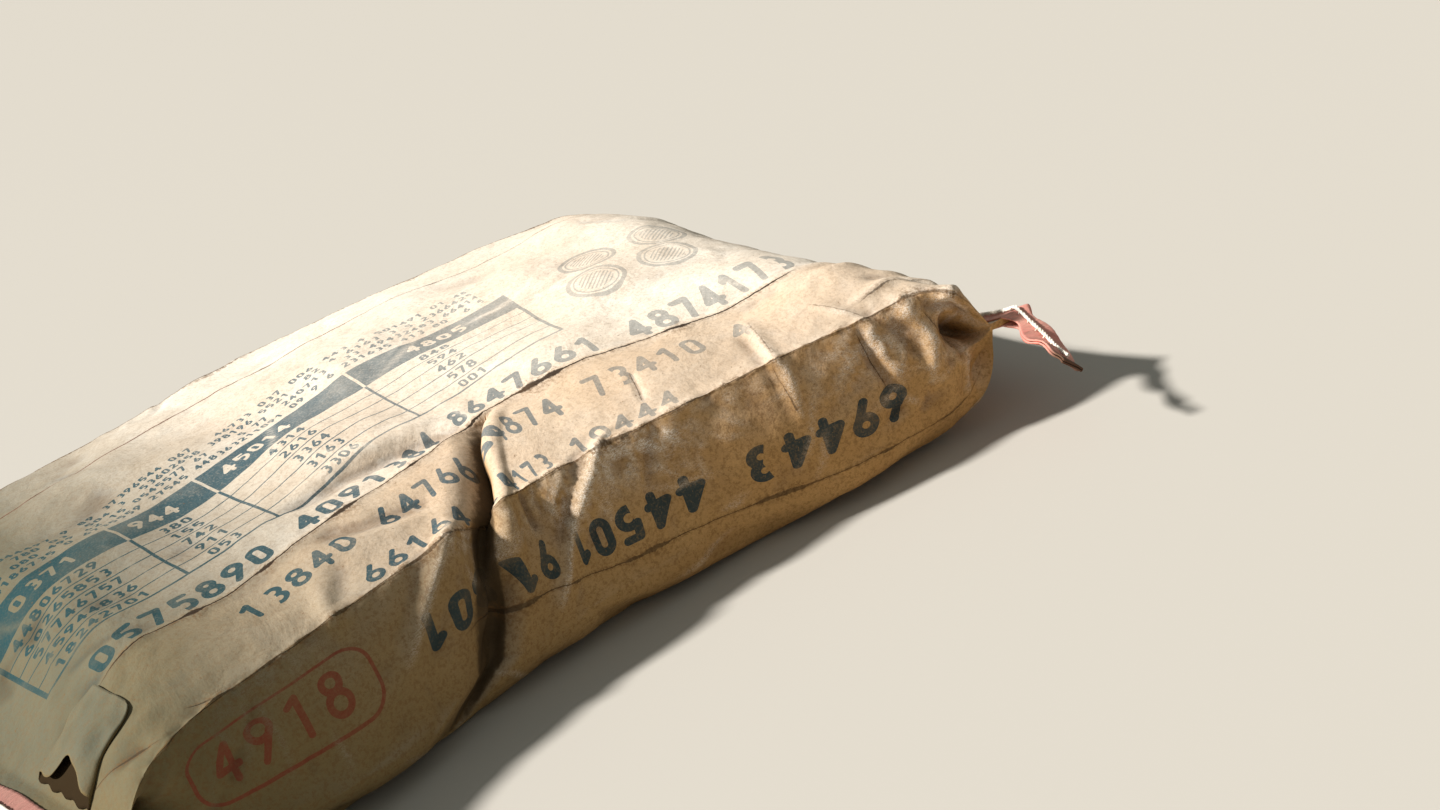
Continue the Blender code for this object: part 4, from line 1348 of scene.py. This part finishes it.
def cottonPaint(tree):
    # white cotton that has yellowed in clouds, with dirt in its fuzz
    place = placeOn(tree)
    fuzz = noiseAt(place, "fuzz")
    old = noiseAt(place, "oldThread").between(0.35, 0.75)
    coat = Coat(cotton, blendColour(old, cotton["white"], cotton["old"]))
    coat.over(fuzz.between(0.55, 0.75) * 0.35, "dirt")
    return {"Base Color": coat.colour, "Roughness": cotton["rough"], "Sheen Weight": cotton["sheen"],
            "Normal": bumped(fuzz, 0.8, 0.0003)}


# the filling valve's sleeve

valve = dict(
    width=0.050, length=0.046, thickness=0.0072, flat=0.0016, ply=0.0006, rest=0.0005, tapeGap=0.003,
    edgeGap=0.034, rows=34, columns=30, corner=0.45, cornered=0.62, narrower=12.0, shorter=20.0,
    lap=0.001, ragged=0.0012, cutBack=0.002, notch=0.013, notchPlace=0.25, notchWidth=0.50,
    puffFrom=0.25, lopsided=0.3, crumple=0.0005, crumpleSize=0.016, insideRough=0.95, insideShine=0.05,
)


def sampleSack(grid, values, s, v):
    # values of the finished skin at (s, v), read between the grid's own points
    at = [np.interp(x, steps, np.arange(len(steps))) for x, steps in zip((s, v), grid)]
    i, j = (np.clip(np.floor(a).astype(int), 0, len(steps) - 2) for a, steps in zip(at, grid))
    a, b = (at[0] - i)[..., None], (at[1] - j)[..., None]
    return mix(mix(values[i, j], values[i + 1, j], a), mix(values[i, j + 1], values[i + 1, j + 1], a), b)


def makeValve(grid, materials):
    # a flattened sleeve on the finished skin: its plies part towards the mouth, which faces the tape;
    # rows run out over the outside to the mouth and back along the inside
    mouth = -halfLength + sack["seamFlat"] + valve["tapeGap"]
    half = 0.5 * valve["width"] / topWidth
    middle = 1.0 - valve["edgeGap"] / topWidth - half
    share = np.linspace(0.0, 1.0, valve["rows"])[:, None]              # 0 at the body, 1 at the mouth
    across = np.linspace(-1.0, 1.0, valve["columns"])
    across, isTop = np.append(across, across[::-1]), np.repeat([1.0, 0.0], valve["columns"])
    cornered = mix(valve["cornered"], 1.0, 1.0 - blunt(1.0 - share / valve["corner"]))
    notch = valve["notch"] * bell((across - valve["notchPlace"]) / valve["notchWidth"])
    cut = valve["ragged"] * softNoise(np.stack([across, isTop], -1), 0.6, 72)
    cut = cut + isTop * (valve["cutBack"] + notch)
    puff = ease((share - valve["puffFrom"]) / (1.0 - valve["puffFrom"])) * (1.0 - np.abs(across) ** 4)
    puff = mix(valve["flat"], valve["thickness"], puff * (0.7 + valve["lopsided"] * across))

    def shell(inset):
        v = middle + half * across * cornered * (1.0 - valve["narrower"] * inset)
        length = valve["length"] * (1.0 - valve["shorter"] * inset)
        s = mouth + length * (1.0 - share) + valve["shorter"] * inset * valve["lap"] + cut * share
        base, normal = (sampleSack(grid, values, s, v) for values in grid[2:])
        crumpled = valve["crumple"] * softNoise(np.stack([s, v * topWidth], -1), valve["crumpleSize"], 71)
        height = np.where(isTop > 0.5, puff + crumpled - inset, inset) + valve["rest"]
        return base + normal * height[..., None]

    points = np.concatenate([shell(0.0), shell(valve["ply"])[::-1]], 0)
    obj = addRings("valve_flap", [points], materials)
    inner = np.repeat(np.arange(len(points) - 1) >= valve["rows"] - 1, points.shape[1])
    fill(obj.data.polygons, "material_index", np.append(inner, [0, 1]), np.int32)
    return turnOut(obj)


def valveShadePaint(tree):
    # painted shade: the sleeve's inside, brown paper caked with old cement, painted dark so that it stays
    # dark from any side
    grain = useGroup(grainGroup, Place=placeOn(tree), Fineness=1.0)
    colour = blendColour(grain["Mottle"] * 0.14, kraft["dark"], kraft["grimeAndShade"])
    return {"Base Color": colour, "Roughness": valve["insideRough"], "Specular IOR Level": valve["insideShine"],
            "Normal": bumped(grain["Fibre"], 0.6, 0.0006)}


# build

makeCamera()
makeLamps()
makeFloor()
print("stage set")

kraftTop, kraftSide, kraftPlain = (newMaterial(panel + "Kraft", kraftPaint, panel)
                                   for panel in ("top", "side", "plain"))
crepePaper, cottonThread = newMaterial("crepePaper", crepePaint), newMaterial("cottonThread", cottonPaint)
shadedValveInside = newMaterial("shadedValveInside", valveShadePaint)
print("materials made")

sackPiece, skinGrid = makeSack([kraftTop, kraftSide, kraftPlain])
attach(sackPiece, "root")
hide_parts("kraft_sack")
print("sack made:", len(sackPiece.data.polygons), "faces")

for key, end in tails.items():
    strip = makeTape(key + "_crepe_tape", end, crepePaper)
    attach(strip, "root")
    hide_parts(key + "_end_tape")
    sewing = makeStitching(key + "_stitching", end, cottonThread)
    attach(sewing, "root")
    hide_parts(key + "_end_thread")
print("tapes and stitching made")

flap = makeValve(skinGrid, [kraftPlain, shadedValveInside])
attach(flap, "root")
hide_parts("valve_sleeve")
print("valve made")
